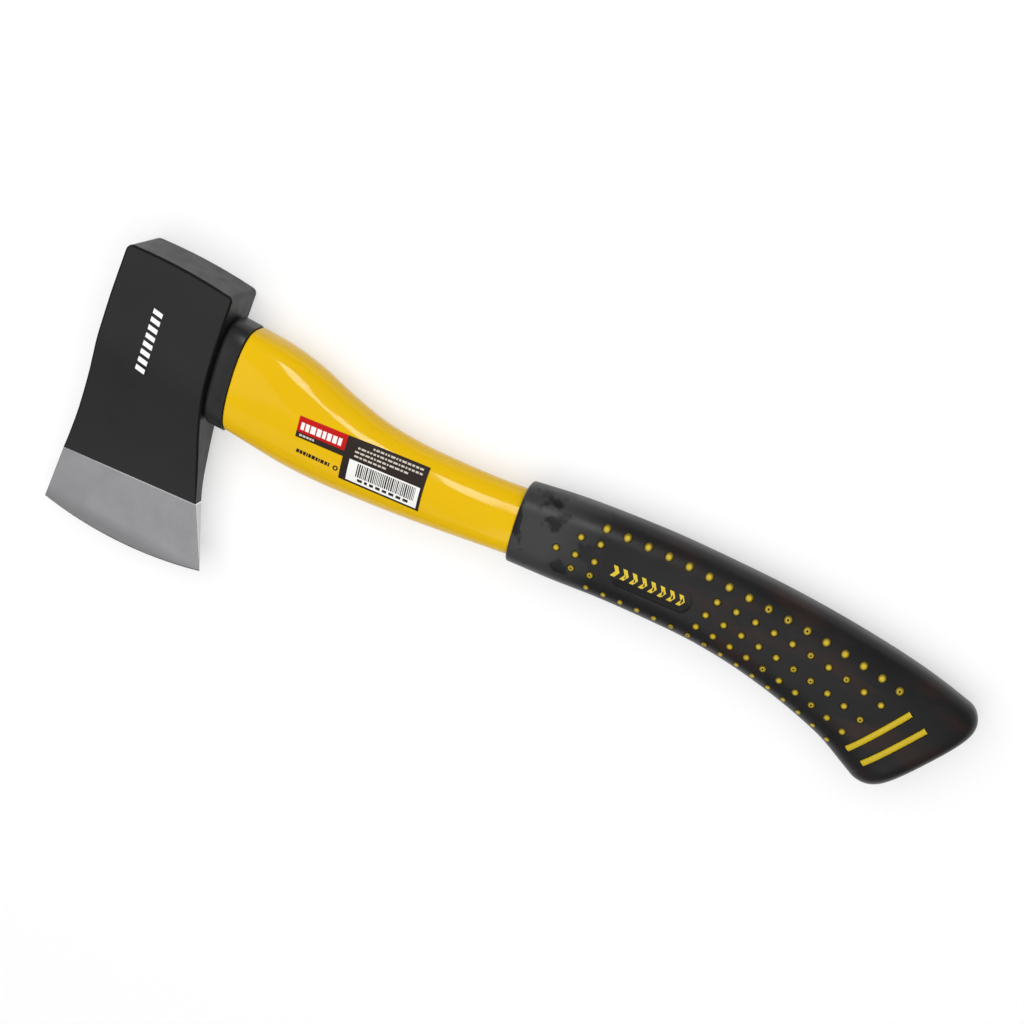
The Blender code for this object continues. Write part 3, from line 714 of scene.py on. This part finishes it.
def make_head():
    """Poll, cheeks and ground bevel in one forging, with a round-lipped eye through it."""

    def rounded_off(depth, radius):
        return radius - (radius**2 - max(0.0, radius - depth) ** 2) ** 0.5

    rings = []
    deepest = max(POLL_RADII)
    depths = [deepest * (1 - cos(turn)) for turn in np.linspace(0, pi / 2, POLL_ROWS)]
    poll_edge = sum(depth < CHEEK_RADIUS for depth in depths)
    for depth in depths:
        insets = [rounded_off(depth, radius) for radius in POLL_RADII]
        y, drop = POLL_Y - depth, rounded_off(depth, CHEEK_RADIUS)
        rings.append(body_ring(y, y, insets, drop, bow=POLL_CROWN))
    for y in np.linspace(POLL_Y - deepest - POLL_LEAD, KNEE_Y, CHEEK_ROWS):
        bow = POLL_CROWN * smooth_step(y, POLL_Y - deepest - CROWN_FADE, POLL_Y - deepest)
        rings.append(body_ring(y, y, bow=bow))
    for share in np.linspace(1 / TURN_ROWS, 1, TURN_ROWS):
        y_left, y_right = (KNEE_Y + share * (end - KNEE_Y) for end in (BEVEL_TOE_Y, BEVEL_HEEL_Y))
        rings.append(body_ring(y_left, y_right, radius=CHEEK_RADIUS * (1 - CHEEK_THINNING * share)))
    lacquered = len(rings)

    start_half = half_thick((BEVEL_TOE_Y + BEVEL_HEEL_Y) / 2)
    rings.append(bevel_ring(FACET_SHARE, start_half - FACET_DROP, BEVEL_RADIUS))
    ground = len(rings)
    for share in np.linspace(GROUND_SHARE, HONE_SHARE, BEVEL_ROWS):
        way = (share - FACET_SHARE) / (HONE_SHARE - FACET_SHARE)
        half = start_half - FACET_DROP + (HONE_HALF - start_half + FACET_DROP) * way
        rings.append(bevel_ring(share, half, BEVEL_RADIUS))
    honed = len(rings)
    rings.append(bevel_ring(1.0, EDGE_HALF_THICK, EDGE_RADIUS))

    shape = loft(rings)
    around = len(rings[0])
    near_edges = [*range(ROUND_STEPS), *range(ROUND_STEPS + COLUMNS + 2, 2 * ROUND_STEPS + COLUMNS + 2)]
    near_cheek = range(ROUND_STEPS, ROUND_STEPS + COLUMNS + 2)
    edges, cheeks = ({*side, *(around - 2 - i for i in side)} for side in (near_edges, near_cheek))
    shape.faces.ensure_lookup_table()
    for i, face in enumerate(shape.faces):
        band = i // around
        if band >= len(rings) - 1:  # the two ends
            face.material_index = LACQUER if i == len(shape.faces) - 2 else HONED_GLINT
        # The facet ring, the honed edge and its tip get the polished steel with its painted glint.
        elif band == lacquered - 1 or band >= honed - 1:
            face.material_index = HONED_GLINT
        elif band >= ground - 1:
            face.material_index = GROUND
        # The rounded edges, and the cheek's edge along the poll, get the painted shade.
        elif i % around in edges or band < poll_edge and i % around in cheeks:
            face.material_index = LACQUER_EDGE_SHADE
    quads_for_ends(shape, rings)
    finishes = [paint_lacquer(), paint_ground_steel(), paint_honed_steel_glint(), paint_lacquer_edge_shade()]
    head = add_piece("head_forging", shape, finishes, "head_lacquer", "axe_head")
    cut(head, make_eye_cutter())
    mark_colour_borders(head)


def quads_for_ends(shape, rings):
    """Fills the poll face and the edge's tip with strips instead of one many-sided face each."""
    shape.faces.ensure_lookup_table()
    count = len(rings[0])
    half = count // 2
    for face, first in ((shape.faces[-2], 0), (shape.faces[-1], (len(rings) - 1) * count)):
        material = face.material_index
        shape.verts.ensure_lookup_table()
        ends = [shape.verts[first + i] for i in range(count)]
        bmesh.ops.delete(shape, geom=[face], context="FACES_ONLY")
        for i in range(half - 1):
            made = shape.faces.new((ends[i], ends[i + 1], ends[count - 2 - i], ends[count - 1 - i]))
            made.material_index = material
        shape.faces.ensure_lookup_table()


def make_eye_cutter():
    """The eye's space, with a rounded lip at its top mouth that follows the head's top side."""

    def mouth_ring(offset, grow):
        half = [v + grow for v in EYE_MOUTH_HALF]
        return ring_along(top_side, offset, half, 0.0, SECTION_POWER, EYE_AROUND)

    rings = [mouth_ring(-EYE_CUT_LEAD, EYE_LIP), mouth_ring(-0.01, EYE_LIP)]
    rings += [mouth_ring(EYE_LIP * inwards, EYE_LIP * back) for back, inwards in quarter(6)]
    rings.append(upright_ring(EYE_CUT_END_X, EYE_HALF, EYE_AROUND))
    return make_object("eye_cutter", loft(rings), [])


def mark_colour_borders(piece):
    """Keeps the shading crisp where one finish meets another."""
    shape = bmesh.new()
    shape.from_mesh(piece.data)
    for edge in shape.edges:
        if len({face.material_index for face in edge.link_faces}) > 1:
            edge.smooth = False
    shape.to_mesh(piece.data)
    shape.free()


def make_cap():
    """Cap in the eye's top mouth: a rounded rim, a shallow ring groove and a low crown."""
    low, high = box_mm("eye_cap")
    outer, inner = low.x, high.x
    profile = [(inner, 0.0), (outer + CAP_ROUND, 0.0)]
    profile += [(outer + CAP_ROUND * back, CAP_ROUND * inwards) for back, inwards in quarter(5)]
    profile += [(outer + depth, inset) for depth, inset in CAP_FACE]
    rings = [upright_ring(x, [v - inset for v in CAP_HALF], EYE_AROUND) for x, inset in profile]
    add_piece("eye_plug", loft(rings), [paint_cap()], "black_cap", "eye_cap")


def make_collar():
    """The black ring between head and jacket, well rounded on the head's side."""
    round_head, round_jacket = COLLAR_ROUNDS
    bore = [v + GAP for v in NECK_HALF]
    rings = []
    for back, inwards in quarter(8)[::-1]:
        half = [v - round_head * inwards for v in COLLAR_HALF]
        rings.append(ring_along(handle_side, GAP + round_head * back, half))
    for back, inwards in quarter(4):
        half = [v - round_jacket * inwards for v in COLLAR_HALF]
        rings.append(ring_along(joint, -GAP - round_jacket * back, half))
    rings += [ring_along(joint, -GAP, bore), ring_along(handle_side, GAP, bore)]
    add_piece("collar_ring", loft(rings, closed=True), [paint_collar()], "black_collar", "neck_collar")


# ------------ handle


def jacket_ring(key, inset=0.0):
    """A section of the jacket, which bends with the joint at the collar.

    Towards the grip it gets rounder, and its shoulder sinks to the bottom edge.
    """
    points = ring(jacket_at(key), inset, power=jacket_power(key), skew=SINK * smooth_step(key, *SINK_KEYS))
    x_top, y_top, x_bottom, y_bottom, _ = JACKET_STATIONS[0]
    lean = (x_top - x_bottom) / (y_top - y_bottom)
    bent = 1 - smooth_step(key, JACKET[0][0], JACKET[0][0] + JOINT_FADE)
    return [(x + bent * (joint(y) - x_top - lean * (y - y_top)), y, z) for x, y, z in points]


def inner_rings(extra):
    """Sections of the jacket where the grip covers it, grown by extra, with a rounded end."""
    last, steps = GRIP[-1][0] - BUTT_WALL, 5
    keys = np.linspace(GRIP[1][0] - INNER_LEAD, last - INNER_END_LEAD, INNER_ROWS)
    rows = [tuple(grip_at(key)) for key in keys]
    rows += butt_stations(rows[-1], grip_at(last), INNER_BUTT_RADII, steps)[: steps + 1]  # without the bulge
    return [ring(row, inset=GRIP_WALL + GAP - extra) for row in rows]


def make_jacket(yellow):
    """The yellow moulding, from its tongue in the eye to its end under the grip."""
    rings = [
        upright_ring(box_mm("handle_jacket")[0].x, TONGUE_HALF),
        ring_along(handle_side, GAP, TONGUE_HALF, middle=0.0, power=SECTION_POWER),
        ring_along(handle_side, GAP, NECK_HALF),
        ring_along(joint, 0.0, NECK_HALF),
    ]
    first = JACKET[0][0]
    for back, inwards in quarter(5)[::-1]:
        rings.append(jacket_ring(first + LIP_ROUND * back, LIP_ROUND * inwards))
    for key in np.linspace(first + JACKET_LEAD, JACKET[-1][0] + JACKET_PAST, JACKET_ROWS):
        rings.append(jacket_ring(key))
    shape = loft(rings + inner_rings(0.0))
    return add_piece("jacket_moulding", shape, [yellow], "yellow_jacket", "handle_jacket")


def make_grip(rubber):
    """The soft black sleeve, still without its sunk pad and the holes for nubs and bars."""
    start, end = GRIP[0][0], GRIP[-1][0]
    outer = []
    for back, inwards in quarter(6)[::-1]:
        outer.append(ring(grip_at(start + RIM_ROUND * back), inset=RIM_ROUND * inwards))
    for key in np.linspace(start + GRIP_LEAD, end - GRIP_END_LEAD, GRIP_ROWS):
        outer.append(ring(grip_at(key)))
    outer += [ring(row) for row in butt_stations(GRIP_STATIONS[-2], GRIP_STATIONS[-1], BUTT_RADII)]
    inner = [jacket_ring(key, -GAP) for key in (start, JACKET[-1][0] + JACKET_PAST)] + inner_rings(GAP)
    shape = loft(list(reversed(outer)) + inner)
    return add_piece("grip_moulding", shape, [rubber], "soft_black", "grip_sleeve")


def pad_cutter_rings(height, side):
    """Rings of the tool that sinks the oval pad, which is deepest along its lower edge and its far end."""
    start, end = np.array(PAD_LINE[0]), np.array(PAD_LINE[1])
    lean = np.arctan2(*(end - start)[::-1])
    deep_way = np.array([cos(PAD_DEEP_WAY), sin(PAD_DEEP_WAY)])
    rings = []
    for share in PAD_SHARES:
        loop = []
        for centre, first in ((start, lean + pi / 2), (end, lean - pi / 2)):
            for i in range(PAD_TURNS + 1):
                turn = first + pi * i / PAD_TURNS
                out = np.array([cos(turn), sin(turn)]) * share
                x, y = centre + PAD_HALF * out
                deep = PAD_LEAST + (1 - PAD_LEAST) * smooth_step(out @ deep_way, 0, 0.85)
                rise = PAD_CLEAR if share > 1 else -(PAD_DEPTH * deep * smooth_step(share, 1, 0.8))
                loop.append((x, y, MID + side * (height(x, y) - MID + rise)))
        rings.append(loop)
    return rings


def nub_places():
    """(x, y, radius) of each nub, on a grid that follows the handle and narrows towards the head."""
    first, last = NUB_KEYS
    places = []
    for column in range(-2, NUB_COLUMNS):
        for row, (across, later, settled, radius) in enumerate(NUB_ROWS):
            outer = row in (0, len(NUB_ROWS) - 1)
            # three columns lie before the pad, and beside it there are only the outer rows
            shown = {-2: row == 2, -1: not outer, 0: True}.get(column, outer or column >= NUB_FULL_COLUMN)
            if not shown:
                continue
            share = column / (NUB_COLUMNS - 1)
            lean = NUB_FAN * share + NUB_BEND * max(0, share) * (1 - share)
            station = grip_at(first + share * (last - first) + lean * across)
            place = across + (later - across) * min(1, max(0, share) / settled)
            x, y = (station[:2] + station[2:4]) / 2 + (station[:2] - station[2:4]) / 2 * place
            places.append((x, y, radius))
    return places


def tangent(height, x, y):
    """The height and the two slopes of a surface at a plan point."""
    reach = 0.6
    slope_x = (height(x + reach, y) - height(x - reach, y)) / (2 * reach)
    slope_y = (height(x, y + reach) - height(x, y - reach)) / (2 * reach)
    return height(x, y), slope_x, slope_y


def add_lathe(shape, centre, tilt, profile, side, tints=None):
    """Adds a turned body, sheared to lie on a sloping surface, with a material for each band.

    The profile runs as (radius, height) from its tip.
    """
    (x, y), (base, slope_x, slope_y) = centre, tilt
    rings = []
    for radius, rise in profile:
        loop = []
        for i in range(SPOKES):
            dx, dy = radius * cos(2 * pi * i / SPOKES), radius * sin(2 * pi * i / SPOKES)
            z = base - MID + slope_x * dx + slope_y * dy + rise
            loop.append(shape.verts.new((x + dx, y + dy, MID + side * z)))
        rings.append(loop)
    tints = tints or [0] * len(rings)
    for one, two, tint in zip(rings, rings[1:], tints, strict=False):
        add_band(shape, one, two, [tint] * SPOKES)
    shape.faces.new(rings[0]).material_index = tints[0]
    shape.faces.new(list(reversed(rings[-1])))


def dome(radius, pit):
    """Profile of a nub, with a material for each band: gate pit, dome, and a root down into the handle. Deep
    pits and the dome's flank and rim get painted shade.
    """
    points = [(0.02, NUB_PROUD - pit), (0.2 * radius, NUB_PROUD - pit), (0.3 * radius, NUB_PROUD - 0.02)]
    tints = [NUB_PIT_SHADE if pit > PIT_SHALLOW else NUB_TIP] * 2
    for i in range(1, DOME_BANDS + 1):
        turn = pi / 2 * (0.22 + 0.78 * i / DOME_BANDS)
        points.append((radius * sin(turn), NUB_PROUD * cos(turn) ** 0.8 if i < DOME_BANDS else 0.0))
        # Bands down the dome's side get darker: painted shade.
        tints.append(NUB_TIP if sin(turn) < 0.6 else NUB_FLANK_SHADE if sin(turn) < 0.8 else NUB_RIM_SHADE)
    return points + [(radius, -NUB_ROOT)], tints + [NUB_RIM_SHADE]


def add_bar(shape, ends, height, side, grow, profile):
    """Adds a bar along the grip's surface, grown by grow; its profile is (share of half width, rise)."""
    start, end = np.array(ends)
    along = (end - start) / hypot(*(end - start))
    half = np.array([-along[1], along[0]]) * (BAR_WIDTH / 2 + grow)
    start, end = start - along * grow, end + along * grow
    loops = []
    for t in np.linspace(0, 1, BAR_ROWS):
        middle = start + (end - start) * t
        loops.append([
            shape.verts.new((x, y, MID + side * (height(*middle) - MID + rise)))
            for share, rise in profile
            for x, y in [middle + half * share]
        ])
    across = [abs(share) for share, _ in profile]
    pairs = zip(across, across[1:] + across[:1], strict=True)
    # The bar's sides and ends get the rim's painted shade.
    tints = [NUB_TIP if max(pair) < BAR_TOP else NUB_RIM_SHADE for pair in pairs]
    for one, two in zip(loops, loops[1:], strict=False):
        add_band(shape, one, two, tints)
    for end_loop in (loops[0], list(reversed(loops[-1]))):
        shape.faces.new(end_loop).material_index = NUB_RIM_SHADE


def mirrored(profile, *middle):
    """A profile, what stands in its middle, and its mirror image."""
    return [*profile, *middle, *((-share, rise) for share, rise in reversed(profile))]


def make_nubs(grip, yellow):
    """Nubs and bars, and the holes that they stand in."""
    height = surface_of(grip)
    nubs, holes = bmesh.new(), bmesh.new()
    random = np.random.default_rng(PIT_SEED)
    deep = -GRIP_WALL - HOLE_PAST
    for x, y, radius in nub_places():
        tilt = tangent(height, x, y)
        pit = PIT_DEEP if random.random() < PIT_CHANCE else PIT_SHALLOW
        wide = radius + HOLE_GAP
        hole = [(wide + 2 * HOLE_FLARE, 2 * HOLE_FLARE), (wide, -HOLE_FLARE * 0.6), (wide, deep)]
        for side in (1, -1):
            profile, tints = dome(radius, pit)
            add_lathe(nubs, (x, y), tilt, profile, side, tints)
            add_lathe(holes, (x, y), tilt, hole, side)
    for side in (1, -1):
        loft(pad_cutter_rings(height, side), shape=holes)
    bars = bmesh.new()
    rounded = mirrored(BAR_ROUND, (0, BAR_CROWN))
    slot = mirrored([(-1, deep), *SLOT_MOUTH])
    for ends in BARS:
        for side in (1, -1):
            add_bar(bars, ends, height, side, 0.0, rounded)
            add_bar(holes, ends, height, side, BAR_GAP, slot)
    cut(grip, make_object("hole_cutter", holes, []))
    # Darker copies of the nubs' yellow and a near-black film: painted shade on the domes' sides and in deep
    # pits.
    flank = paint_yellow("yellow_flanks_painted_shade", (0.28, 0.2, 0.01), (0.22, 0.155, 0.008), (0.25, 0.4))
    rim = paint_yellow("yellow_rims_painted_shade", (0.11, 0.078, 0.006), (0.08, 0.056, 0.005), (0.3, 0.45))
    pit = paint_film("nub_pits_painted_shade", (0.02, 0.014, 0.004), (0.05, 0.035, 0.008))
    add_piece("nubs", nubs, [yellow, rim, pit, flank], "yellow_jacket")
    add_piece("bars", bars, [yellow, rim], "yellow_jacket")


# ------------ label and marks


def straight(origin, turn, shear=0.0):
    """A function from places along and down a turned line to plan points."""
    along = np.array([cos(turn), sin(turn)])
    down = np.array([along[1], -along[0]])
    return lambda u, v: np.array(origin) + along * (u + shear * v) + down * v


def add_patch(shape, place, field, height, low, high, step=1.2):
    """Adds a thin plate that follows a surface: field is (start, end, top, bottom) in place's coordinates."""
    start, end, top, bottom = field
    columns = np.linspace(start, end, max(2, round((end - start) / step) + 1))
    rows = np.linspace(top, bottom, max(2, round((bottom - top) / step) + 1))
    under, over = {}, {}
    for i, u in enumerate(columns):
        for j, v in enumerate(rows):
            x, y = place(u, v)
            under[i, j], over[i, j] = (shape.verts.new((x, y, height(x, y) + rise)) for rise in (low, high))
    wide, tall = len(columns), len(rows)
    for i in range(wide - 1):
        for j in range(tall - 1):
            corners = [(i, j), (i + 1, j), (i + 1, j + 1), (i, j + 1)]
            shape.faces.new([over[c] for c in corners])
            shape.faces.new([under[c] for c in reversed(corners)])
    rim = [(i, 0) for i in range(wide)] + [(wide - 1, j) for j in range(1, tall)]
    rim += [(i, tall - 1) for i in range(wide - 2, -1, -1)] + [(0, j) for j in range(tall - 2, 0, -1)]
    add_band(shape, [over[c] for c in rim], [under[c] for c in rim])


def dashes(rows):
    """Short blocks of varied widths, which stand for lines of print."""
    fields = []
    for (at, end, top, bottom), sizes, gap, seed in rows:
        random = np.random.default_rng(seed)
        while at < end - sizes[0]:
            width = min(random.uniform(*sizes), end - at)
            fields.append((at, at + width, top, bottom))
            at += width + gap
    return fields


def make_label(height):
    """The stuck-on label: film in two fields, with plain blocks, bars and lines printed on it."""
    place = straight(LABEL_CORNER, LABEL_LEAN, LABEL_SHEAR)

    def stick(name, fields, low, high, material, *nodes):
        shape = bmesh.new()
        for field in fields:
            add_patch(shape, place, field, height, low, high)
        add_piece(name, shape, [material], "printed_label", *nodes)

    film, panel_top, ink = LABEL_LIFT, LABEL_LIFT + PANEL_LIFT, LABEL_LIFT + INK_LIFT
    red = paint_film("label_red", (0.46, 0.002, 0.003), (0.52, 0.005, 0.004))
    dark = paint_film("label_dark", (0.020, 0.013, 0.010), (0.028, 0.019, 0.015))
    white = paint_film("label_white", (0.80, 0.79, 0.76), (0.88, 0.87, 0.85))
    pale = paint_film("label_pale", (0.52, 0.47, 0.40), (0.62, 0.57, 0.5))
    black = paint_film("label_ink", (0.012, 0.011, 0.010), (0.02, 0.018, 0.017))
    stick("label_red_field", [LABEL_RED], LABEL_SUNK, film, red, "label")
    stick("label_dark_field", [LABEL_BAND, LABEL_DARK], LABEL_SUNK, film, dark)
    stick("label_panel", [LABEL_PANEL], film - LABEL_SUNK, panel_top, white)
    stick("label_blocks", dashes(LABEL_BLOCKS), film - LABEL_SUNK, ink, white)
    stick("label_lines", dashes(LABEL_LINES), film - LABEL_SUNK, ink, pale)
    stick("label_bars", dashes(LABEL_BARS), film, panel_top + INK_LIFT, black)


def make_marks(jacket_height, grip):
    """Plain marks in place of lettering: blocks on the cheek, chevrons on the grip, dashes on the jacket."""

    def add_row(name, mark, low, high, material, slot):
        corner, turn, count, pitch, outline = mark
        place = straight(corner, turn)
        shape = bmesh.new()
        for i in range(count):
            add_prism(shape, [place(i * pitch + a, b) for a, b in outline], low, high)
        add_piece(name, shape, [material], slot)

    white = paint_film("pad_print_white", (0.78, 0.78, 0.77), (0.90, 0.90, 0.89), (0.35, 0.5))
    cheek = MID + CHEEK_HALF
    add_row("cheek_mark", CHEEK_MARK, cheek - 0.1, cheek + 0.04, white, "head_lacquer")
    height = surface_of(grip)
    yellow = paint_film("mark_yellow", (0.62, 0.44, 0.03), (0.74, 0.55, 0.05), (0.35, 0.5))
    low, high = (lambda x, y, rise=rise: height(x, y) + rise for rise in (-0.2, 0.12))
    add_row("grip_mark", GRIP_MARK, low, high, yellow, "yellow_jacket")

    ink = paint_film("print_brown", (0.014, 0.007, 0.004), (0.026, 0.012, 0.006), (0.35, 0.5))
    place = straight(*PRINT_PLACE)
    shape = bmesh.new()
    for field in dashes(PRINT_LINE):
        add_patch(shape, place, field, jacket_height, PRINT_SUNK, PRINT_LIFT)
    along, down, inner, outer = PRINT_RING
    centre = place(along, down)

    def around(turn, radius):
        return centre + radius * np.array([cos(turn), sin(turn)])

    field = (0.0, 2 * pi - 0.03, inner, outer)
    add_patch(shape, around, field, jacket_height, PRINT_SUNK, PRINT_LIFT, step=0.3)
    add_piece("jacket_print", shape, [ink], "yellow_jacket")


# ------------ stage


CAMERA_AIM, CAMERA_DISTANCE, CAMERA_LENS = (0.1511, 0.0098, 0.0254), 0.6672, 63.28
CAMERA_TURNS = (163.79, 69.87, -136.17)  # azimuth, elevation and roll
FLOOR_SIZE, FLOOR_DROP, FLOOR_GLOW = 3000, 0.3, 0.48


def stand(name, data, place, turn):
    """Puts a camera or a light in the scene."""
    made = bpy.data.objects.new(name, data)
    bpy.context.scene.collection.objects.link(made)
    made.location = place
    made.rotation_mode = "QUATERNION"
    made.rotation_quaternion = turn
    return made


def make_camera():
    """The camera, over the hatchet and tilted towards the poll, with the handle running down to the right."""
    azimuth, elevation, roll = (radians(turn) for turn in CAMERA_TURNS)
    back = Vector((sin(azimuth) * cos(elevation), -cos(azimuth) * cos(elevation), sin(elevation)))
    data = bpy.data.cameras.new("camera")
    data.lens, data.sensor_width = CAMERA_LENS, 36.0
    turn = (-back).to_track_quat("-Z", "Y") @ Quaternion((0, 0, 1), roll)
    place = Vector(CAMERA_AIM) + back * CAMERA_DISTANCE
    bpy.context.scene.camera = stand("camera", data, place, turn)


def add_light(name, place, aim, size, power, glossy=True, diffuse=True):
    """A rectangular soft light that faces a point; size is (along its local X, along its local Y)."""
    data = bpy.data.lights.new(name, "AREA")
    data.shape = "RECTANGLE"
    data.size, data.size_y = size
    data.energy = power
    light = stand(name, data, place, (Vector(aim) - Vector(place)).to_track_quat("-Z", "Y"))
    light.visible_glossy, light.visible_diffuse = glossy, diffuse


def make_world():
    """A dim, even room around the lights."""
    world = bpy.data.worlds.new("studio")
    world.use_nodes = True
    bpy.context.scene.world = world
    world.node_tree.nodes["Background"].inputs["Color"].default_value = (0.17, 0.17, 0.175, 1)


def make_floor():
    """A plain pale floor under the hatchet, lit from below like a light table, so that shadows stay soft."""
    shape = bmesh.new()
    bmesh.ops.create_grid(shape, x_segments=1, y_segments=1, size=FLOOR_SIZE)
    bmesh.ops.translate(shape, vec=(0, 0, -FLOOR_DROP), verts=shape.verts)
    pale = paint_film("pale_floor", (0.47, 0.47, 0.47), (0.49, 0.49, 0.49), (0.8, 0.9))
    shader = pale.node_tree.nodes["Principled BSDF"]
    shader.inputs["Emission Color"].default_value = (1, 1, 1, 1)
    shader.inputs["Emission Strength"].default_value = FLOOR_GLOW
    make_object("floor", shape, [pale])


make_camera()
make_world()
make_floor()
add_light("key", (0.05, 0.22, 1.4), (0.15, 0.0, 0.0), (2.4, 2.4), 37.5, glossy=False)
add_light("shoulder_strip", (0.015, 0.44, 0.78), (0.1, 0.0, 0.0), (0.1025, 0.31), 1.235, diffuse=False)
add_light("cheek_softbox", (-0.38, -0.17, 0.95), (0.0, 0.0, 0.0), (0.46, 0.36), 0.42, diffuse=False)
add_light("grip_softbox", (0.255, -0.3, 0.95), (0.25, 0.0, 0.0), (0.37, 1.1), 1.5, diffuse=False)
add_light("bevel_softbox", (-0.25, -0.72, 0.78), (0.0, -0.07, 0.0), (0.7, 0.45), 0.51, diffuse=False)
bpy.context.scene.view_settings.view_transform = "Standard"

make_head()
make_cap()
make_collar()
yellow_shell = paint_yellow("yellow_polypropylene", (0.75, 0.46, 0.003), (0.72, 0.42, 0.003), (0.06, 0.1))
jacket = make_jacket(yellow_shell)
grip = make_grip(paint_grip())
make_nubs(grip, paint_yellow("yellow_nubs", (0.56, 0.41, 0.015), (0.48, 0.34, 0.012), (0.22, 0.32)))
jacket_height = surface_of(jacket)
make_label(jacket_height)
make_marks(jacket_height, grip)
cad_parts["eye_resin"].material_slots[0].material = paint_resin()
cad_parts["fibreglass_core"].material_slots[0].material = paint_fibre()
